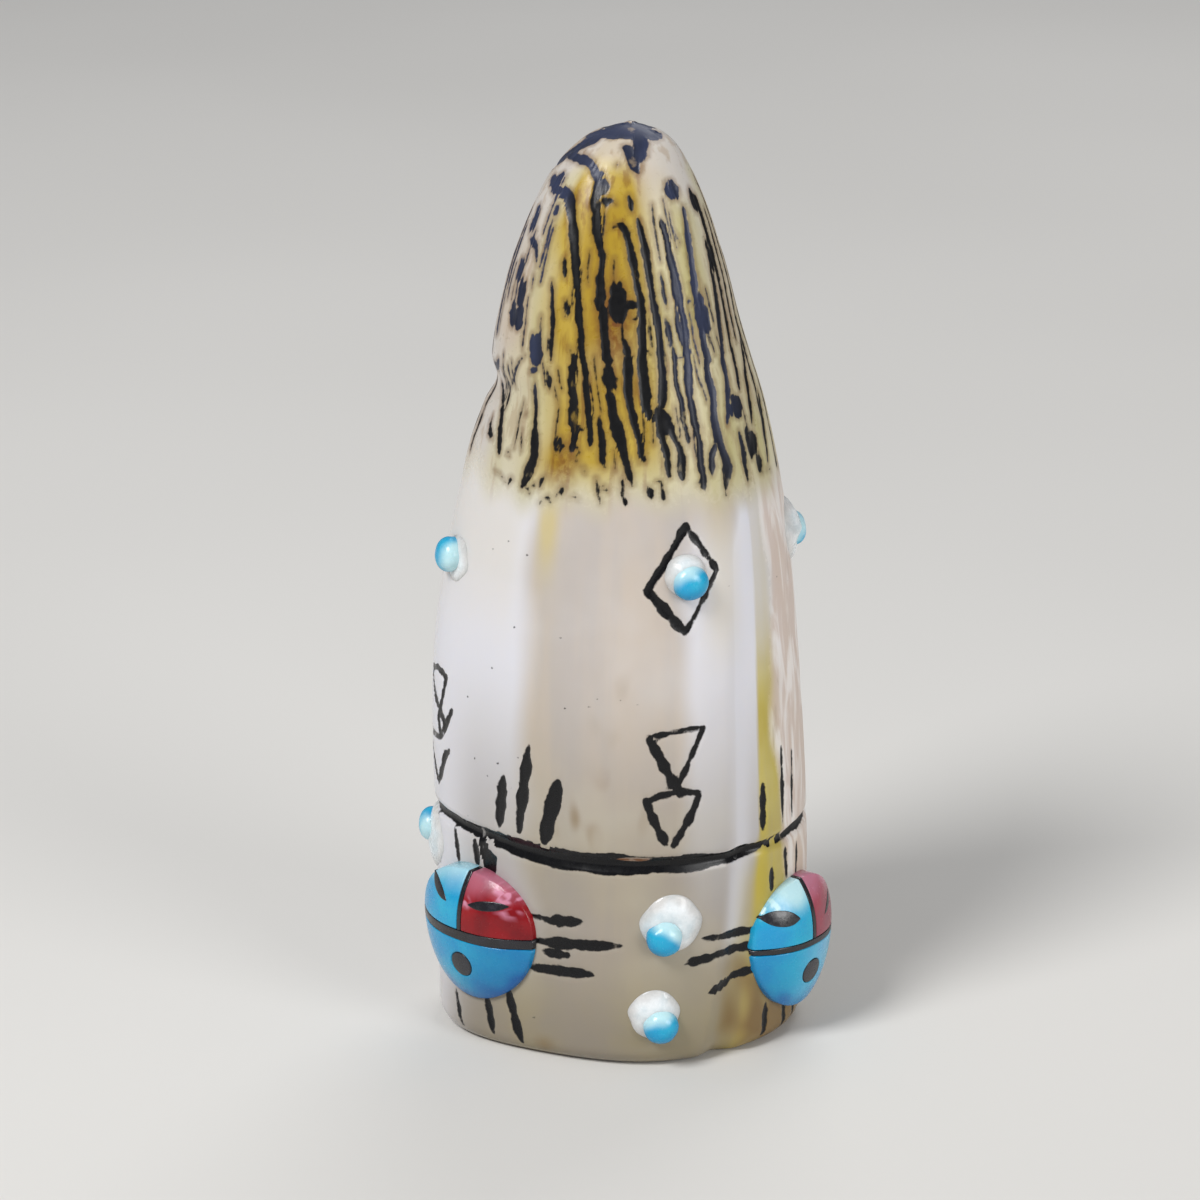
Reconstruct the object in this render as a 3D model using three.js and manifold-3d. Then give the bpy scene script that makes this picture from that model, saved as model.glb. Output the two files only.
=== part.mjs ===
// Standing stone fetish carving: one tapered body with a hair cap, turquoise beads and
// two inlaid sun faces. Millimetres, +Z up, the front faces -Y, origin in the middle of
// the flat underside. Turns are degrees from the front, positive towards +X.

import Module from 'manifold-3d';
import * as THREE from 'three';
import { mergeVertices } from 'three/addons/utils/BufferGeometryUtils.js';

// Body
const BODY_HEIGHT = 57;
const BODY_WIDTH = 23.3;
const BODY_DEPTH = 19.2;
const FOOT_ROUND = 1.2;

// Line cut round the body
const BAND_HEIGHT = 13.45;
const BAND_WIDTH = 1.1;
const BAND_DEPTH = 0.25;

// Seam that runs up the right of the front from a nick in the foot
const SEAM_FOOT_TURN = 35;
const SEAM_TOP_TURN = 44;
const SEAM_TOP = 33;
const SEAM_SPREAD = 9;
const SEAM_DEPTH = 0.5;

// Crease under the back of the hair cap
const CREASE_HEIGHT = 41.2;
const CREASE_WIDTH = 3.2;
const CREASE_DEPTH = 0.4;
const CREASE_TURN = -125;
const CREASE_SPREAD = 95;

// Turquoise beads, each a short rod with a domed end
const BEAD_RADIUS = 1.1;
const BEAD_PROUD = 1.2;
const BEAD_DOME = 0.75;
const BEAD_SUNK = 1.8;
const RING_HEIGHT = 30.8;
const RING_RISE = 0.55;
const LOW_BEAD_TURN = 12.6;
const UPPER_BEAD_HEIGHT = 8.8;
const LOWER_BEAD_HEIGHT = 2.95;
const LEFT_BEAD_HEIGHT = 11.6;

// Inlaid sun faces
const LEFT_FACE_WIDTH = 9.1;
const RIGHT_FACE_WIDTH = 7.9;
const FACE_BROW = 3.6;
const FACE_CHIN = 4.8;
const FACE_CROWN = 1.9;
const FACE_RIM = 0.7;
const FACE_BEND = 0.6;
const FACE_SUNK = 1.6;
const LEFT_FACE_HEIGHT = 7.7;
const RIGHT_FACE_HEIGHT = 6.95;
const BROW_SQUARENESS = 2.2;
const CHIN_SQUARENESS = 1.95;
const DOME_FULLNESS = 2.6;
const BAR_DROP = 0.3;
const LEFT_BAR_WIDTH = 0.62;
const RIGHT_BAR_WIDTH = 0.38;
const DIVIDER_WIDTH = 0.3;
const MOUTH_RADIUS = 0.8;
const MOUTH_DROP = 2.3;
const EYE_LENGTH = 2.1;
const EYE_WIDTH = 0.42;
const EYE_DEPTH = 0.25;
const EYE_SPREAD = 0.43;
const EYE_RISE = 1.8;
const EYE_SLANT = 24;

// Clearances: round each stone set in the body, and between the stones of one face
const SETTING_GAP = 0.3;
const STONE_GAP = 0.06;

// Fineness of the faceted solids
const BODY_COLUMNS = 60;
const LEVELS_PER_STATION = 2;
const BEAD_COLUMNS = 16;
const FACE_COLUMNS = 32;
const OUTLINE_TURNS = 360;

// Reach of the body at each height: to the left and right as shares of its half width,
// and to the front and back as a share of its half depth
const STATIONS = [
  { height: 0.000, left: 0.975, right: 0.975, depth: 0.965 },
  { height: 0.100, left: 0.985, right: 1.000, depth: 0.990 },
  { height: 0.200, left: 0.990, right: 1.005, depth: 1.000 },
  { height: 0.300, left: 1.005, right: 0.985, depth: 1.000 },
  { height: 0.400, left: 0.995, right: 0.952, depth: 0.975 },
  { height: 0.500, left: 0.940, right: 0.912, depth: 0.930 },
  { height: 0.580, left: 0.858, right: 0.866, depth: 0.870 },
  { height: 0.650, left: 0.783, right: 0.806, depth: 0.805 },
  { height: 0.700, left: 0.698, right: 0.750, depth: 0.750 },
  { height: 0.725, left: 0.664, right: 0.717, depth: 0.720 },
  { height: 0.750, left: 0.664, right: 0.676, depth: 0.690 },
  { height: 0.790, left: 0.632, right: 0.616, depth: 0.635 },
  { height: 0.850, left: 0.559, right: 0.540, depth: 0.555 },
  { height: 0.910, left: 0.445, right: 0.445, depth: 0.450 },
  { height: 0.950, left: 0.337, right: 0.360, depth: 0.350 },
  { height: 0.980, left: 0.195, right: 0.267, depth: 0.233 },
  { height: 0.995, left: 0.055, right: 0.147, depth: 0.102 },
  { height: 1.000, left: -0.050, right: 0.050, depth: 0.000 },
];

// Flats ground round the body: the turn each one faces and how far out it lies, at the
// foot and at the band; the ring of eight closes round the back, and under the hair cap
// the flats fade into a round section
const FLATS = [
  { footTurn: -30, footReach: 0.87, bandTurn: -53, bandReach: 0.82 },
  { footTurn: 3, footReach: 1.00, bandTurn: -2.5, bandReach: 1.00 },
  { footTurn: 41, footReach: 0.96, bandTurn: 50.5, bandReach: 1.01 },
  { footTurn: 90, footReach: 1.00, bandTurn: 90, bandReach: 1.00 },
  { footTurn: 135, footReach: 1.03, bandTurn: 135, bandReach: 1.03 },
  { footTurn: 180, footReach: 1.00, bandTurn: 180, bandReach: 1.00 },
  { footTurn: 225, footReach: 1.03, bandTurn: 225, bandReach: 1.03 },
  { footTurn: 270, footReach: 1.00, bandTurn: 270, bandReach: 1.00 },
];
const FLAT_SHARPNESS = 6;
const FLATS_FADE_FROM = 30;
const FLATS_FADE_TO = 46;

const radians = THREE.MathUtils.degToRad;
const mix = THREE.MathUtils.lerp;
const share = THREE.MathUtils.clamp;

// Ring of beads below the cap; it sits a little higher on the right than on the left
const RING = [
  { name: 'ring_bead_front', turn: 22.3 },
  { name: 'ring_bead_right', turn: 99 },
  { name: 'ring_bead_back', turn: 193 },
  { name: 'ring_bead_left', turn: -86 },
];
const ringHeight = (turn) => RING_HEIGHT + RING_RISE * Math.sin(radians(turn));
const BEADS = [
  ...RING.map(({ name, turn }) => ({ name, turn, height: ringHeight(turn) })),
  { name: 'upper_bead', turn: LOW_BEAD_TURN, height: UPPER_BEAD_HEIGHT },
  { name: 'lower_bead', turn: LOW_BEAD_TURN, height: LOWER_BEAD_HEIGHT },
  { name: 'left_bead', turn: -103, height: LEFT_BEAD_HEIGHT },
];

// Where each sun face sits on the body, the turn it faces, its width and its bar's width
const SUN_FACES = [
  {
    name: 'left_face',
    turn: -58.5,
    height: LEFT_FACE_HEIGHT,
    facing: -41,
    width: LEFT_FACE_WIDTH,
    barWidth: LEFT_BAR_WIDTH,
  },
  {
    name: 'right_face',
    turn: 66,
    height: RIGHT_FACE_HEIGHT,
    facing: 51,
    width: RIGHT_FACE_WIDTH,
    barWidth: RIGHT_BAR_WIDTH,
  },
];

const wasm = await Module();
wasm.setup();

// Closed mesh to solid, its vertices merged and any inside-out geometry refused
function solidFrom(geometry) {
  const bare = geometry.clone();
  bare.deleteAttribute('normal');
  bare.deleteAttribute('uv');
  const merged = mergeVertices(bare, 1e-4);
  const solid = new wasm.Manifold(new wasm.Mesh({
    numProp: 3,
    vertProperties: new Float32Array(merged.attributes.position.array),
    triVerts: new Uint32Array(merged.index.array),
  }));
  if (solid.volume() <= 0) {
    throw new Error('a solid is inside out');
  }
  return solid;
}

function meshFrom(name, solid, material) {
  const { vertProperties, triVerts } = solid.getMesh();
  const geometry = new THREE.BufferGeometry();
  geometry.setAttribute('position', new THREE.BufferAttribute(vertProperties, 3));
  geometry.setIndex(new THREE.BufferAttribute(triVerts, 1));
  geometry.computeVertexNormals();
  const mesh = new THREE.Mesh(geometry, material);
  mesh.name = name;
  return mesh;
}

// Profile of [radius, level] pairs turned round the Z axis, starting at the front
function turned(profile, columns) {
  const points = profile.map(([radius, level]) => new THREE.Vector2(radius, level));
  return new THREE.LatheGeometry(points, columns).rotateX(Math.PI / 2);
}

function block(lowX, highX, lowY, highY, lowZ, highZ) {
  const box = new THREE.BoxGeometry(highX - lowX, highY - lowY, highZ - lowZ);
  return box.translate((lowX + highX) / 2, (lowY + highY) / 2, (lowZ + highZ) / 2);
}

// Smooth hump, 1 in the middle and 0 from one spread away
function hump(distance, spread) {
  const part = Math.min(Math.abs(distance) / spread, 1);
  return (1 - part * part) ** 2;
}

// Catmull-Rom blend through four values
function blend(before, from, to, after, part) {
  const square = part * part;
  return 0.5 * (2 * from + (to - before) * part
    + (2 * before - 5 * from + 4 * to - after) * square
    + (3 * from - before - 3 * to + after) * square * part);
}

// Height and reaches at a level counted in stations, in shares
function stationAt(level) {
  const last = STATIONS.length - 1;
  const index = Math.min(Math.floor(level), last - 1);
  const near = [-1, 0, 1, 2].map((step) => STATIONS[share(index + step, 0, last)]);
  const take = (key) => blend(...near.map((station) => station[key]), level - index);
  return {
    height: take('height'),
    left: take('left'),
    right: take('right'),
    depth: take('depth'),
  };
}

// Level whose height is the one asked for, found by halving
function levelOf(height) {
  let low = 0;
  let high = STATIONS.length - 1;
  for (let step = 0; step < 40; step += 1) {
    const middle = (low + high) / 2;
    if (stationAt(middle).height * BODY_HEIGHT < height) {
      low = middle;
    } else {
      high = middle;
    }
  }
  return (low + high) / 2;
}

// Distance from the middle of the section to its edge, before it is fitted to its reach
function flatsAt(turn, height) {
  const part = share(height / BAND_HEIGHT, 0, 1);
  const faded = share((height - FLATS_FADE_FROM) / (FLATS_FADE_TO - FLATS_FADE_FROM), 0, 1);
  let sum = 0;
  for (const flat of FLATS) {
    const faces = radians(mix(flat.footTurn, flat.bandTurn, part));
    const reach = mix(mix(flat.footReach, flat.bandReach, part), 1, faded);
    sum += Math.max(Math.cos(turn - faces) / reach, 0) ** FLAT_SHARPNESS;
  }
  const edge = sum ** (-1 / FLAT_SHARPNESS);
  return { x: Math.sin(turn) * edge, y: -Math.cos(turn) * edge };
}

function flatLimits(height) {
  const edges = Array.from({ length: OUTLINE_TURNS }, (_, index) => (
    flatsAt(index / OUTLINE_TURNS * 2 * Math.PI, height)
  ));
  return {
    left: -Math.min(...edges.map((edge) => edge.x)),
    right: Math.max(...edges.map((edge) => edge.x)),
    front: -Math.min(...edges.map((edge) => edge.y)),
    back: Math.max(...edges.map((edge) => edge.y)),
  };
}

// Degrees between two turns, the short way round
function turnsApart(turn, other) {
  return ((turn - other + 540) % 360 + 360) % 360 - 180;
}

// How deep the foot's rounding, the band, the seam and the crease cut in
function carvedDepth(turn, height) {
  const above = share(FOOT_ROUND - height, 0, FOOT_ROUND);
  const foot = FOOT_ROUND - Math.sqrt(FOOT_ROUND ** 2 - above ** 2);
  const band = BAND_DEPTH * hump(height - BAND_HEIGHT, BAND_WIDTH / 2);
  const degrees = THREE.MathUtils.radToDeg(turn);
  const rise = share(height / SEAM_TOP, 0, 1);
  const seamTurn = mix(SEAM_FOOT_TURN, SEAM_TOP_TURN, Math.sqrt(rise));
  const seam = SEAM_DEPTH * (1 - rise) * hump(turnsApart(degrees, seamTurn), SEAM_SPREAD);
  const creaseHere = hump(turnsApart(degrees, CREASE_TURN), CREASE_SPREAD);
  const crease = CREASE_DEPTH * creaseHere * hump(height - CREASE_HEIGHT, CREASE_WIDTH / 2);
  return foot + band + seam + crease;
}

// Point of the body's surface; limits are the section's own, at the same height
function surfacePoint(turn, level, limits) {
  const station = stationAt(level);
  const height = station.height * BODY_HEIGHT;
  const halfWidth = (station.left + station.right) / 2 * BODY_WIDTH / 2;
  const halfDepth = station.depth * BODY_DEPTH / 2;
  const shift = (station.right - station.left) / 2 * BODY_WIDTH / 2;
  const edge = flatsAt(turn, height);
  const x = edge.x / (edge.x > 0 ? limits.right : limits.left) * halfWidth;
  const y = edge.y / (edge.y > 0 ? limits.back : limits.front) * halfDepth;
  const length = Math.hypot(x, y);
  const kept = length > 0 ? 1 - Math.min(carvedDepth(turn, height) / length, 1) : 0;
  return new THREE.Vector3(shift + x * kept, y * kept, height);
}

// Point and outward normal of the body at a turn in degrees and a height
function seatOn(turnDegrees, height) {
  const nearby = BODY_HEIGHT / 100;
  const sample = (turn, at) => surfacePoint(turn, levelOf(at), flatLimits(at));
  const turn = radians(turnDegrees);
  const step = radians(2);
  const point = sample(turn, height);
  const along = sample(turn + step, height).sub(sample(turn - step, height));
  const up = sample(turn, height + nearby).sub(sample(turn, height - nearby));
  return { point, normal: along.cross(up).normalize() };
}

// Frame with its origin on the surface, X to the right along it and Z outward
function frameAt(point, outward) {
  const right = new THREE.Vector3(0, 0, 1).cross(outward).normalize();
  const up = outward.clone().cross(right);
  return new THREE.Matrix4().makeBasis(right, up, outward).setPosition(point);
}

function bodyGeometry() {
  const levels = [];
  for (const part of [0, 0.25, 0.5, 0.75]) {
    levels.push(levelOf(FOOT_ROUND * (1 - Math.cos(part * Math.PI / 2))));
  }
  levels[0] = 0;
  levels.push(levelOf(FOOT_ROUND));
  const count = (STATIONS.length - 1) * LEVELS_PER_STATION;
  for (let step = 1; step < count; step += 1) {
    levels.push(step / LEVELS_PER_STATION);
  }
  for (const part of [-0.5, -0.25, 0, 0.25, 0.5]) {
    levels.push(levelOf(BAND_HEIGHT + part * BAND_WIDTH));
  }
  levels.sort((first, second) => first - second);
  const top = STATIONS.length - 1;
  const profile = [[0, 0], ...levels.map((level) => [1, level]), [0, top]];
  const geometry = turned(profile, BODY_COLUMNS);
  const position = geometry.attributes.position;
  const limits = new Map();
  for (let index = 0; index < position.count; index += 1) {
    const x = position.getX(index);
    const y = position.getY(index);
    const level = position.getZ(index);
    if (Math.hypot(x, y) > 0.5) {
      if (!limits.has(level)) {
        limits.set(level, flatLimits(stationAt(level).height * BODY_HEIGHT));
      }
      const place = surfacePoint(Math.atan2(x, -y), level, limits.get(level));
      position.setXYZ(index, place.x, place.y, place.z);
    } else {
      const end = STATIONS[Math.round(level)];
      const shift = (end.right - end.left) / 2 * BODY_WIDTH / 2;
      position.setXYZ(index, shift, 0, end.height * BODY_HEIGHT);
    }
  }
  return geometry;
}

// Bead standing on its seat, or with extra room round it the socket drilled for it
function beadGeometry(room) {
  const radius = BEAD_RADIUS + room;
  const shoulder = BEAD_PROUD - BEAD_DOME;
  const profile = [[0, -BEAD_SUNK - room], [radius, -BEAD_SUNK - room]];
  for (const part of [0, 0.33, 0.67, 1]) {
    const lean = part * Math.PI / 2;
    const out = part < 1 ? radius * Math.cos(lean) : 0;
    profile.push([out, shoulder + room + BEAD_DOME * Math.sin(lean)]);
  }
  return turned(profile, BEAD_COLUMNS);
}

// Sun face outline: squarer across the brow than round the chin
function faceEdge(turn, room, width) {
  const across = Math.sin(turn);
  const rise = -Math.cos(turn);
  const power = 2 / (rise > 0 ? BROW_SQUARENESS : CHIN_SQUARENESS);
  const reach = (rise > 0 ? FACE_BROW : FACE_CHIN) + room;
  const x = (width / 2 + room) * Math.sign(across) * Math.abs(across) ** power;
  return { x, y: reach * Math.sign(rise) * Math.abs(rise) ** power };
}

// Height of the domed face where its outline is scaled by a share
function domeHeight(x, part, width) {
  const bend = FACE_BEND * (x / (width / 2)) ** 2;
  return FACE_RIM + (FACE_CROWN - FACE_RIM) * (1 - part ** DOME_FULLNESS) - bend;
}

// Whole sun face before it is divided
function faceGeometry(width) {
  const parts = [1, 0.93, 0.8, 0.6, 0.3];
  const rings = [[0, -1], [1, -1], ...parts.map((part) => [part, 1]), [0, 1]];
  const geometry = turned(rings, FACE_COLUMNS);
  const position = geometry.attributes.position;
  for (let index = 0; index < position.count; index += 1) {
    const part = Math.hypot(position.getX(index), position.getY(index));
    const edge = faceEdge(Math.atan2(position.getX(index), -position.getY(index)), 0, width);
    const onTop = position.getZ(index) > 0;
    const z = onTop ? domeHeight(edge.x * part, part, width) : -FACE_SUNK;
    position.setXYZ(index, edge.x * part, edge.y * part, z);
  }
  return geometry;
}

// Straight-sided pocket that the sun face is set into
function pocketGeometry(width) {
  const floor = -FACE_SUNK - SETTING_GAP;
  const open = 2 * FACE_CROWN;
  const rings = [[0, floor], [1, floor], [1, open], [0, open]];
  const geometry = turned(rings, FACE_COLUMNS);
  const position = geometry.attributes.position;
  for (let index = 0; index < position.count; index += 1) {
    if (Math.hypot(position.getX(index), position.getY(index)) > 0.5) {
      const turn = Math.atan2(position.getX(index), -position.getY(index));
      const edge = faceEdge(turn, SETTING_GAP, width);
      position.setXY(index, edge.x, edge.y);
    }
  }
  return geometry;
}

// Spindle-shaped cut for one eye, on the left (-1) or right (+1) of the brow
function eyeGeometry(side, width) {
  const x = side * EYE_SPREAD * width / 2;
  const across = EYE_SPREAD ** BROW_SQUARENESS;
  const part = (across + (EYE_RISE / FACE_BROW) ** BROW_SQUARENESS) ** (1 / BROW_SQUARENESS);
  const eye = new THREE.SphereGeometry(1, 10, 6);
  eye.scale(EYE_LENGTH / 2, EYE_WIDTH / 2, EYE_DEPTH);
  eye.rotateZ(side * radians(EYE_SLANT));
  return eye.translate(x, EYE_RISE, domeHeight(x, part, width));
}

// Stones of one sun face, in its own frame: two brows, the bar and divider between
// them, the chin, and the round mouth let into the chin
function faceStones(width, barWidth) {
  const far = width;
  const deep = 2 * FACE_SUNK;
  const high = 2 * FACE_CROWN;
  const barTop = barWidth / 2 - BAR_DROP;
  const barFoot = -barWidth / 2 - BAR_DROP;
  const side = DIVIDER_WIDTH / 2;
  const whole = solidFrom(faceGeometry(width));
  const within = (lowX, highX, lowY, highY) => (
    whole.intersect(solidFrom(block(lowX, highX, lowY, highY, -deep, high)))
  );
  const rod = (radius) => solidFrom(
    turned([[0, -deep], [radius, -deep], [radius, high], [0, high]], BEAD_COLUMNS)
      .translate(0, -MOUTH_DROP, 0),
  );
  const eyes = solidFrom(eyeGeometry(-1, width)).add(solidFrom(eyeGeometry(1, width)));
  return {
    left_brow: within(-far, -side - STONE_GAP, barTop + STONE_GAP, far).subtract(eyes),
    right_brow: within(side + STONE_GAP, far, barTop + STONE_GAP, far).subtract(eyes),
    divider: within(-side, side, barTop + STONE_GAP, far),
    bar: within(-far, far, barFoot, barTop),
    chin: within(-far, far, -far, barFoot - STONE_GAP).subtract(rod(MOUTH_RADIUS + STONE_GAP)),
    mouth: whole.intersect(rod(MOUTH_RADIUS)),
  };
}

const shell = () => new THREE.MeshStandardMaterial({
  color: 0xded8cc, roughness: 0.3, metalness: 0,
});
const turquoise = () => new THREE.MeshStandardMaterial({
  color: 0x3fb6d3, roughness: 0.3, metalness: 0,
});
const coral = () => new THREE.MeshStandardMaterial({
  color: 0xa3262f, roughness: 0.25, metalness: 0,
});
const jet = () => new THREE.MeshStandardMaterial({
  color: 0x14141b, roughness: 0.2, metalness: 0,
});
const STONE_OF = {
  left_brow: turquoise,
  right_brow: coral,
  divider: jet,
  bar: jet,
  chin: turquoise,
  mouth: jet,
};

const carving = new THREE.Group();
let body = solidFrom(bodyGeometry());

for (const bead of BEADS) {
  const seat = seatOn(bead.turn, bead.height);
  const frame = frameAt(seat.point, seat.normal);
  const socket = beadGeometry(SETTING_GAP).applyMatrix4(frame);
  body = body.subtract(solidFrom(socket));
  const mesh = meshFrom(bead.name, solidFrom(beadGeometry(0)), turquoise());
  mesh.applyMatrix4(frame);
  carving.add(mesh);
}

for (const face of SUN_FACES) {
  const facing = radians(face.facing);
  const outward = new THREE.Vector3(Math.sin(facing), -Math.cos(facing), 0);
  const frame = frameAt(seatOn(face.turn, face.height).point, outward);
  body = body.subtract(solidFrom(pocketGeometry(face.width).applyMatrix4(frame)));
  const group = new THREE.Group();
  for (const [part, stone] of Object.entries(faceStones(face.width, face.barWidth))) {
    group.add(meshFrom(`${face.name}_${part}`, stone, STONE_OF[part]()));
  }
  group.applyMatrix4(frame);
  carving.add(group);
}

carving.add(meshFrom('carved_body', body, shell()));

export default carving;
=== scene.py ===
"""Visual model of a small standing stone fetish carving with bead and sun face inlay."""

from math import cos, pi, radians, sin

import bmesh
import bpy
import numpy as np
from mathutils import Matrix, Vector, noise
from mathutils.bvhtree import BVHTree
from mathutils.kdtree import KDTree


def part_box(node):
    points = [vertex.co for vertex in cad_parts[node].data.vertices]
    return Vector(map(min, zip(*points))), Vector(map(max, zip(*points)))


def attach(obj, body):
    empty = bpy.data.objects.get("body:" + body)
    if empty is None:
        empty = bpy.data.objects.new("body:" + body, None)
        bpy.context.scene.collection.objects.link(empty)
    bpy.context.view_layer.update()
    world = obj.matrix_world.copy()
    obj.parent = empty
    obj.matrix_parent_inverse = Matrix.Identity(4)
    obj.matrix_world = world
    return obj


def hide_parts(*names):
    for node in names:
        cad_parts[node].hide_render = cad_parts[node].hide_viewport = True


bl_info = {
    "name": "Fetish carving",
    "version": (1, 0, 0),
    "blender": (4, 5, 0),
    "location": "View3D > Sidebar > Carving",
    "description": "Builds the visual model of a small standing stone fetish carving",
    "category": "Add Mesh",
}

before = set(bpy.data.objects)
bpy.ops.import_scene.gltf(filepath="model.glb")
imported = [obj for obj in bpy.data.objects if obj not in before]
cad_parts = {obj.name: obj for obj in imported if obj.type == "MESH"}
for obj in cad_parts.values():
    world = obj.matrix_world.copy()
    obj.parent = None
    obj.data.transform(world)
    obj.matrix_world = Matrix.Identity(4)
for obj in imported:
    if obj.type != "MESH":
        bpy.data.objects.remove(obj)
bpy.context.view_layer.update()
BODY_NODE = "carved_body"
BODY_LOW, BODY_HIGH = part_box(BODY_NODE)
MM = 0.001

# Turns are degrees from the front of the carving, positive towards +X. Heights and
# lengths inside this file are millimetres; meshes are made in metres.

# Reach of the body at each height: height, left, right and depth, as shares
STATIONS = np.array([
    (0.000, 0.975, 0.975, 0.965), (0.100, 0.985, 1.000, 0.990), (0.200, 0.990, 1.005, 1.000),
    (0.300, 1.005, 0.985, 1.000), (0.400, 0.995, 0.952, 0.975), (0.500, 0.940, 0.912, 0.930),
    (0.580, 0.858, 0.866, 0.870), (0.650, 0.783, 0.806, 0.805), (0.700, 0.698, 0.750, 0.750),
    (0.725, 0.664, 0.717, 0.720), (0.750, 0.664, 0.676, 0.690), (0.790, 0.632, 0.616, 0.635),
    (0.850, 0.559, 0.540, 0.555), (0.910, 0.445, 0.445, 0.450), (0.950, 0.337, 0.360, 0.350),
    (0.980, 0.195, 0.267, 0.233), (0.995, 0.055, 0.147, 0.102), (1.000, -0.050, 0.050, 0.000),
])

# Flats ground round the body: turn and reach at the foot, turn and reach at the band
FLATS = np.array([
    (-30, 0.87, -53, 0.82), (3, 1.0, -2.5, 1.0), (41, 0.96, 50.5, 1.01), (90, 1, 90, 1),
    (135, 1.03, 135, 1.03), (180, 1, 180, 1), (225, 1.03, 225, 1.03), (270, 1, 270, 1),
])
FLAT_SHARPNESS = 6
FLATS_FADE_FROM = 30.0
FLATS_FADE_TO = 46.0

LINE_DEPTH = 0.08
WEAR_DEPTH = 0.035
FOOT_ROUND = 1.2
BAND_HEIGHT = 13.45
BAND_WIDTH = 1.1
BAND_DEPTH = 0.25
PATCH_TURN = 3
PATCH_SPREAD = 10
PATCH_HEIGHT = 13.72
PATCH_REACH = 0.30
SEAM_FOOT_TURN = 35
SEAM_TOP_TURN = 44
SEAM_TOP = 33
SEAM_SPREAD = 9
SEAM_DEPTH = 0.5
CREASE_HEIGHT = 41.2
CREASE_WIDTH = 3.2
CREASE_DEPTH = 0.4
CREASE_TURN = -125
CREASE_SPREAD = 95

RING_HEIGHT = 30.8
RING_RISE = 0.55
BEADS = {
    "upper_bead": (12.6, 8.8),
    "lower_bead": (12.6, 2.95),
    "left_bead": (-103, 11.6),
}
for ring_name, ring_turn in (("front", 22.3), ("right", 99), ("back", 193), ("left", -86)):
    BEADS["ring_bead_" + ring_name] = (
        ring_turn, RING_HEIGHT + RING_RISE * sin(radians(ring_turn)))
BEAD_RADIUS = 1.1
BEAD_PROUD = 1.15
BEAD_DOME = 0.75
BEAD_SUNK = 1.8
BEAD_TAPER = 0.985
GLUE_SUNK = 0.4
DROP_FROM = 4.0

# Rings of a lump of glue, as shares of its reach
GLUE_SHARES = (1.0, 0.97, 0.92, 0.84, 0.74, 0.62, 0.48, 0.32, 0.16)

# Glue seen round each bead: reach, thickness, and how far it has run right and up
GLUE = {
    "ring_bead_front": (1.32, 0.88, -0.18, 0.36),
    "ring_bead_right": (1.90, 0.78, -0.62, 0.38),
    "ring_bead_back": (1.55, 0.30, 0.10, 0.20),
    "ring_bead_left": (1.50, 0.30, 0.35, -0.10),
    "upper_bead": (1.90, 0.45, 0.40, 0.85),
    "lower_bead": (1.60, 0.40, -0.40, 0.70),
    "left_bead": (2.05, 0.45, 0.85, -0.45),
}

# Turn and height on the body, turn faced, width and bar width of each sun face
SUN_FACES = {
    "left_face": (-58.5, 7.7, -41, 9.1, 0.62),
    "right_face": (66, 6.95, 51, 7.9, 0.38),
}
FACE_BROW = 3.6
FACE_CHIN = 4.8
FACE_CROWN = 1.89
FACE_RIM = 0.7
FACE_BEND = 0.6
FACE_SUNK = 1.6
BROW_SQUARENESS = 2.2
CHIN_SQUARENESS = 1.95
DOME_FULLNESS = 2.6
BAR_DROP = 0.3
DIVIDER_WIDTH = 0.3
MOUTH_RADIUS = 0.8
MOUTH_DROP = 2.3
STONE_GAP = 0.025
SLIVER_LIFT = 0.02
SLIVER_THICK = 0.25

# Eye slits of each sun face: centre, length, width and slant in degrees
EYES = {
    "left_face": (((-2.3, 2.1), 2.5, 0.62, -26), ((1.9, 1.95), 2.7, 0.60, 6)),
    "right_face": (((-2.35, 1.75), 2.4, 1.0, -10), ((2.0, 1.55), 1.9, 0.36, 32)),
}
# White scuffs on the brow stones: piece, right, up and reach
SCUFFS = (
    ("left_face_right_brow", 3.25, 2.05, 1.0), ("left_face_right_brow", 2.6, 2.8, 0.8),
    ("left_face_right_brow", 0.5, 1.9, 0.5), ("right_face_left_brow", -2.9, 2.5, 1.1),
)

# Rings over a stone, as shares of the way out from its centre or its hole, and the extra
# rings close to a hole
STONE_SHARES = (1.0, 0.992, 0.982, 0.968, 0.95, 0.92, 0.87, 0.78, 0.64, 0.48, 0.3, 0.14)
HOLE_SHARES = (0.06, 0.025, 0.008, 0.0)

# Fineness of the meshes and of the steps along a drawn line
BODY_COLUMNS = 400
BODY_ROWS = 226
BEAD_COLUMNS = 64
GLUE_COLUMNS = 72
STONE_COLUMNS = 200
UNDERSIDE_RINGS = (0.5, 0.8, 0.96)
TOP_ROW = 0.9975
LEVEL_STEPS = 6001
HEIGHT_STEPS = 229
LINE_STEP = 0.07
LEAF_STEPS = 60


def tune(owner, **values):
    """Sets several attributes of one thing and gives it back."""
    for name, value in values.items():
        setattr(owner, name, value)
    return owner


def linear(red, green, blue):
    """Screen colour from 0 to 255 as linear values."""
    out = []
    for value in (red, green, blue):
        share = value / 255
        out.append(share / 12.92 if share < 0.04045 else ((share + 0.055) / 1.055) ** 2.4)
    return tuple(out)


def hump(distance, spread):
    """1 in the middle, 0 from one spread away, smooth between."""
    part = np.minimum(np.abs(distance) / spread, 1)
    return (1 - part * part) ** 2


def rise(value, start, end):
    """Smooth step from 0 at start to 1 at end."""
    part = np.clip((value - start) / (end - start), 0, 1)
    return part * part * (3 - 2 * part)


def within(value, start, full, fall, end):
    """1 from full to fall, 0 before start and after end, smooth between."""
    return rise(value, start, full) * (1 - rise(value, fall, end))


def clipped(values):
    """Values held between 0 and 1."""
    return np.clip(values, 0, 1)


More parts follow.
